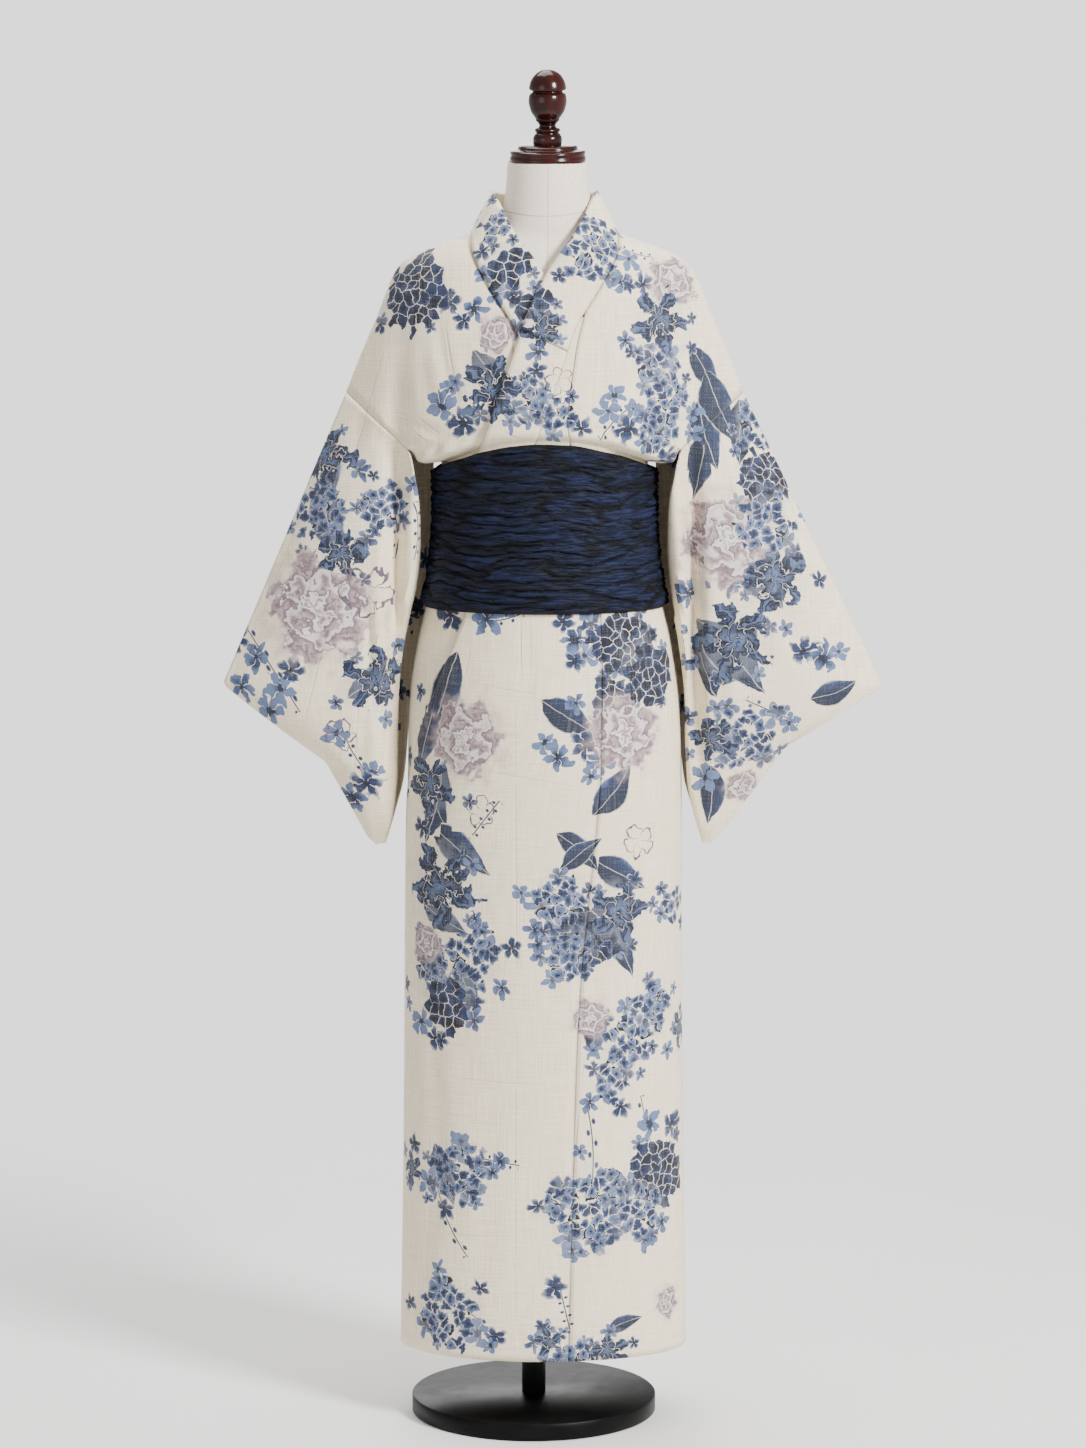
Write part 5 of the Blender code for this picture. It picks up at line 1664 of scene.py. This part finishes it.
band = [[Vector((-p.x, p.y, p.z)) for p in line] for line in band_rows(over=False)]
band = band[:0:-1] + band_rows(over=True)[1:]
Sheet("neck_band", "front", moved_out(band, BAND_OUT))
covered = [row for row in band if row[0].z > OVER_BAND_END_Z]
cover_out = BAND_OUT + BAND / 2 + LAYER_GAP / 2 + OVER_BAND / 2
Sheet("neck_band_cover", "front", moved_out(covered, cover_out))
print("band rows:", sheets[-2].points.shape)

# %% Print the cloth and make its pieces
print_cloth()
printed = cotton.material
cut = {}
for name, node, thick in (
    ("left_length", "body_left", CLOTH),
    ("right_length", "body_right", CLOTH),
    ("left_overlap", "okumi_left", CLOTH),
    ("right_overlap", "okumi_right", CLOTH),
    ("left_sleeve", "sleeve_left", CLOTH),
    ("right_sleeve", "sleeve_right", CLOTH),
    ("neck_band", "collar_band", BAND),
    ("neck_band_cover", "over_collar", OVER_BAND),
):
    cut[name] = cloth_piece(name, node, thick, printed)

# %% [markdown]
# The sash is a long strip of crinkled cotton wound round the waist. Its crinkles run along
# it in uneven ridges that split and meet, which a ridged noise stretched round the waist
# gives. Its top and bottom edges are soft folds, so the outer sheet turns in there.

# %% The crinkled sash
def crinkle(turn, height):
    """How far a crinkle stands out, from 0 to 1: broad ridges between thin winding furrows."""
    round_x, round_y = math.cos(turn), math.sin(turn)
    drift = noise.noise(Vector((round_x * 1.6, round_y * 1.6, height * 7))) * 0.011
    drift += noise.noise(Vector((round_x * 5, round_y * 5, height * 26 + 4))) * 0.0034
    drift += noise.noise(Vector((round_x * 15, round_y * 15, height * 60 + 8))) * 0.0009
    level = height + drift
    broad = abs(noise.noise(Vector((round_x * 2.0, round_y * 2.0, level * 92))))
    fine = abs(noise.noise(Vector((round_x * 5.5, round_y * 5.5, level * 190 + 9))))
    return 0.66 * min(1, broad * 4.4) ** 0.5 + 0.34 * min(1, fine * 3.2) ** 0.6


def sash_sheet():
    """The sash's outer surface, in rows from its top edge down, and how far each point stands
    out. The rows close round the waist."""
    rows, columns = 245, 198
    grid, stands = [], []
    for row in range(rows + 1):
        line = []
        for column in range(columns + 1):
            angle = 360 * (column % columns) / columns
            turn = math.radians(angle)
            signed = angle if angle <= 180 else angle - 360
            uneven = noise.noise(Vector((math.cos(turn) * 5, math.sin(turn) * 5, 1)))
            top = sash_top(angle) + SASH_EDGE_WAVE * uneven
            z = mix(top, SASH_BOTTOM_Z, row / rows)
            near_edge = min(top - z, z - SASH_BOTTOM_Z)
            tuck = max(0, 1 - near_edge / SASH_TUCK)
            offset = tube_lift(abs(signed), z, True) + SASH_INNER + SASH_WALL
            lap = ease(SASH_LAP_ANGLE - 60, SASH_LAP_ANGLE - 30, angle)
            offset += SASH_LAP * lap * (angle < SASH_LAP_ANGLE)
            stands.append(crinkle(turn, z) * (1 - tuck))
            offset += CRINKLE_HEIGHT * stands[-1] - CRINKLE_INSET
            offset -= CRINKLE_INSET * (1 - math.sqrt(max(0, 1 - tuck * tuck)))
            line.append(lower_point(angle, z, offset))
        grid.append(line)
    return grid, stands


navy = Finish("navy_crinkle", 0.80, Specular_IOR_Level=0.22)
place = navy.on_piece()
fine_threads = navy.noise(navy.stretched(place, (300.0, 300.0, 1500.0)), 1.0, 2.0)
# Patches that set where the crests get a painted highlight, and where the roughness changes.
crest_highlight_and_roughness_patches = navy.noise(navy.stretched(place, (14.0, 14.0, 90.0)), 1.0, 3.0, 0.55)
fine_crease = navy.noise(navy.stretched(place, (26.0, 26.0, 260.0)), 1.0, 2.0) - 0.5
fine_crease = 1 - abs(fine_crease).soft(0.0, 0.06)
stand = navy.number("stand")[0]
# Painted shade and painted highlight: the navy is darker down in the furrows and lighter on the
# crests where the crinkle stands out, there in patches.
tone = navy.colour(dye("010205"), dye("060A17"), stand.soft(0.28, 0.66))
tone = navy.colour(tone, dye("141D3A"), stand.soft(0.60, 0.95) * crest_highlight_and_roughness_patches.soft(0.25, 0.7))
# Painted shade: the fine creases are darker along their lines, as well as sunk by the bump.
tone = navy.colour(tone, dye("020309"), fine_crease * 0.6)
tone = navy.colour(tone, dye("232B4A"), fine_threads.soft(0.55, 0.9) * 0.16)
navy.paint(tone, crest_highlight_and_roughness_patches.soft(0.2, 0.8) * 0.16 + 0.66, fine_threads * 0.3 - fine_crease, 0.0014, 0.9)

grid, stands = sash_sheet()
bm = bmesh.new()
carried = bm.verts.layers.float.new("stand")
made = bmesh.ops.create_grid(bm, x_segments=len(grid[0]) - 1, y_segments=len(grid) - 1, size=1)
for index, vert in enumerate(made["verts"]):
    vert.co = grid[index // len(grid[0])][index % len(grid[0])]
    vert[carried] = stands[index]
bmesh.ops.remove_doubles(bm, verts=bm.verts, dist=1e-5)
bmesh.ops.recalc_face_normals(bm, faces=bm.faces)
sash_area = sum(face.calc_area() for face in bm.faces)
bm.transform(Matrix.Translation((MIDDLE_X, 0, 0)))
sash = finished("crinkled_sash", bm, navy.material)
outward = sash.data.polygons[0].normal.dot(sash.data.polygons[0].center * Vector((1, 1, 0)))
wall = sash.modifiers.new("wall", "SOLIDIFY")
wall.thickness = SASH_WALL * 0.9
wall.offset = -1 if outward > 0 else 1
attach(sash, "root")
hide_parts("sash")
print("sash faces", len(sash.data.polygons), "area", round(sash_area, 3))

# %% [markdown]
# The dress form is a padded body without limbs, covered in canvas that is sewn in panels.
# Only its neck shows. A seam runs down the middle of the front, and another goes round the
# foot of the neck. Its rings are the solid's own, with more points round and more levels.

# %% The dress form
canvas = Finish("form_canvas", 0.9, Sheen_Weight=0.1)
place = canvas.on_piece()
weave = canvas.noise(canvas.stretched(place, (900.0, 900.0, 120.0)), 1.0, 1.0)
weave = weave + canvas.noise(canvas.stretched(place, (120.0, 120.0, 900.0)), 1.0, 1.0)
smudge = canvas.noise(place, 9.0, 3.0)
across, depth, up = canvas.split(place)
middle_seam = 1 - abs(across - (MIDDLE_X + 0.003)).soft(0.0002, 0.0011)
bow = (across - MIDDLE_X) * (across - MIDDLE_X) * 2.2
neck_seam = 1 - abs(up - 1.4125 - bow).soft(0.0003, 0.0012)
sewn = middle_seam.most(neck_seam)
tone = canvas.colour(dye("DCCFBC"), dye("EFE6D8"), weave.soft(0.8, 1.2) * 0.6 + smudge * 0.4)
tone = canvas.colour(tone, dye("B7A58D"), sewn * 0.45)
canvas.paint(tone, None, weave * 0.3 - sewn, 0.0008, 0.6)

FORM_SEGMENTS = 96
FORM_STEPS = ((FORM_BOTTOM_Z, 1.350, 40), (1.350, 1.402, 22), (1.402, 1.472, 14))
levels = [FORM_BOTTOM_Z]
for low, high, steps in FORM_STEPS:
    levels += [mix(low, high, share) for share in shares(steps)[1:]]


def form_ring(z):
    """A ring of the dress form: an oval, with its neck a little to one side."""
    shift = FORM(z, "shift")
    ring = []
    for share in shares(FORM_SEGMENTS)[:-1]:
        turn = math.tau * share
        depth = FORM(z, "front" if math.cos(turn) > 0 else "back")
        x = shift + FORM(z, "half_width") * math.sin(turn)
        ring.append(Vector((x, -depth * math.cos(turn), z)))
    return ring


tilt = Matrix.Translation((0, 0, NECK_TOP_Z)) @ Matrix.Rotation(CAP_TILT, 4, "X")
top_ring = [tilt @ (point - Vector((0, 0, NECK_TOP_Z))) for point in form_ring(NECK_TOP_Z)]
bm = bmesh.new()
loops = []
for ring in [form_ring(z) for z in levels] + [top_ring]:
    verts = [bm.verts.new(point) for point in ring]
    loops.append([bm.edges.new(pair) for pair in zip(verts, verts[1:] + verts[:1])])
for low, high in zip(loops, loops[1:]):
    bmesh.ops.bridge_loops(bm, edges=low + high)
bmesh.ops.holes_fill(bm, edges=loops[0] + loops[-1], sides=0)
bmesh.ops.recalc_face_normals(bm, faces=bm.faces)
bm.transform(Matrix.Translation((MIDDLE_X, 0, 0)))
dress_form = finished("dress_form", bm, canvas.material)
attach(dress_form, "root")
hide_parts("form_torso")
print("form faces", len(dress_form.data.polygons))

# %% [markdown]
# The cap and finial are turned hardwood under a gloss varnish, and the stand is steel with
# a satin coat. On a lathe each would be a profile turned about an axis, so they are made
# with bmesh's spin. The profile runs smoothly through the solid's own points.

# %% The turned cap, the finial, the base and the tube
wood = Finish("polished_wood", 0.30, Coat_Weight=0.25, Coat_Roughness=0.10, Specular_IOR_Level=0.2)
place = wood.on_piece()
grain = wood.noise(wood.stretched(place, (60.0, 60.0, 6.0)), 1.0, 4.0, 0.6)
pores = wood.noise(wood.stretched(place, (900.0, 900.0, 60.0)), 1.0, 2.0)
tone = wood.colour(dye("150504"), dye("34100B"), grain.soft(0.30, 0.72))
tone = wood.colour(tone, dye("1B0706"), pores.soft(0.60, 0.80) * 0.4)
wood.paint(tone, pores.soft(0.5, 0.9) * 0.12 + 0.20, grain * 0.3 + pores * 0.2, 0.0004, 0.4)

black = Finish("satin_black", 0.38, Specular_IOR_Level=0.10)
place = black.on_piece()
orange_peel = black.noise(place, 420.0, 2.0)
dust = black.noise(place, 22.0, 4.0, 0.6)
tone = black.colour(dye("060606"), dye("0C0C0C"), dust.soft(0.4, 0.8))
black.paint(tone, dust.soft(0.3, 0.8) * 0.14 + 0.32, orange_peel, 0.0003, 0.35)


def turned_piece(name, node, slot, finish, profile, segments, place, smooth=1):
    """A body turned about its own Z axis from a profile of (radius, height), foot to top."""
    curve = Table(("step", "radius", "height"), *[(i, *point) for i, point in enumerate(profile)])
    steps = [i / smooth for i in range((len(profile) - 1) * smooth + 1)]
    bm = bmesh.new()
    verts = [bm.verts.new((curve(i, "radius"), 0, curve(i, "height"))) for i in steps]
    edges = [bm.edges.new(pair) for pair in zip(verts, verts[1:])]
    bmesh.ops.spin(
        bm,
        geom=verts + edges,
        axis=(0, 0, 1),
        cent=(0, 0, 0),
        angle=math.tau,
        steps=segments,
        use_merge=True,
    )
    bmesh.ops.remove_doubles(bm, verts=bm.verts, dist=1e-6)
    bmesh.ops.holes_fill(bm, edges=[edge for edge in bm.edges if edge.is_boundary], sides=0)
    bmesh.ops.recalc_face_normals(bm, faces=bm.faces)
    bm.transform(place)
    piece = finished(name, bm, finish)
    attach(piece, "root")
    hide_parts(node)
    print(name, "faces", len(piece.data.polygons))


seat = Matrix.Translation((MIDDLE_X + FORM(NECK_TOP_Z, "shift"), 0, NECK_TOP_Z))
seat = seat @ Matrix.Rotation(CAP_TILT, 4, "X")
cap_seat = seat @ Matrix.Translation((0, 0, SEAM_GAP))
finial_seat = seat @ Matrix.Translation((0, 0, CAP_PROFILE[-1][1] + 2 * SEAM_GAP))
on_floor = Matrix.Identity(4)
tube = ((POLE_RADIUS, BASE_THICK + SEAM_GAP), (POLE_RADIUS, FORM_BOTTOM_Z - SEAM_GAP))
varnished = ("polished_wood", wood.material)
coated = ("satin_black", black.material)
turned_piece("turned_cap", "neck_cap", *varnished, CAP_PROFILE, 128, cap_seat, 3)
turned_piece("turned_finial", "finial", *varnished, FINIAL_PROFILE, 96, finial_seat, 4)
turned_piece("round_base", "stand_base", *coated, BASE_PROFILE, 160, on_floor)
turned_piece("stand_tube", "stand_pole", *coated, tube, 48, on_floor)

# %% [markdown]
# The floor is a broad pale sheet that fades away round the stand, so it runs into the room
# without a horizon. It is only the stage and no part of the object.

# %% The floor
bm = bmesh.new()
bmesh.ops.create_grid(bm, x_segments=4, y_segments=4, size=14)
bmesh.ops.translate(bm, verts=bm.verts, vec=(0, 0, -0.0005))
pale = Finish("pale_floor", 0.75)
speckle = pale.noise(pale.on_piece(), 3.0, 4.0)
across, depth, _ = pale.split(pale.on_piece())
far = ((across * across + depth * depth) ** 0.5).soft(0.7, 2.1)
pale.feed(pale.shader.inputs["Alpha"], 1 - far)
pale.paint(pale.colour(dye("EAE8E6"), dye("F3F1EF"), speckle))
floor = finished("floor", bm, pale.material)

# %% [markdown]
# Each piece of cloth is listed with the size that a maker would cut it to. A body length
# is one strip over the shoulder, a sleeve one strip folded at the top, and the sash shows
# only its outer turn.

# %% The cut of each piece of cloth
for name, flat_size, held, rests_on in (
    ("left_length", (0.30, 2.62), "draped", ["dress_form"]),
    ("right_length", (0.30, 2.62), "draped", ["dress_form"]),
    ("left_overlap", (0.27, 1.28), "hung", ["right_overlap"]),
    ("right_overlap", (0.25, 1.28), "hung", ["dress_form"]),
    ("left_sleeve", (0.40, 1.00), "hung", ["left_length"]),
    ("right_sleeve", (0.40, 1.00), "hung", ["right_length"]),
    ("neck_band", (0.060, 1.16), "folded", ["left_length", "right_length"]),
    ("neck_band_cover", (0.060, 0.76), "folded", ["neck_band"]),
):
    piece, area = cut[name]
    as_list(rests_on)
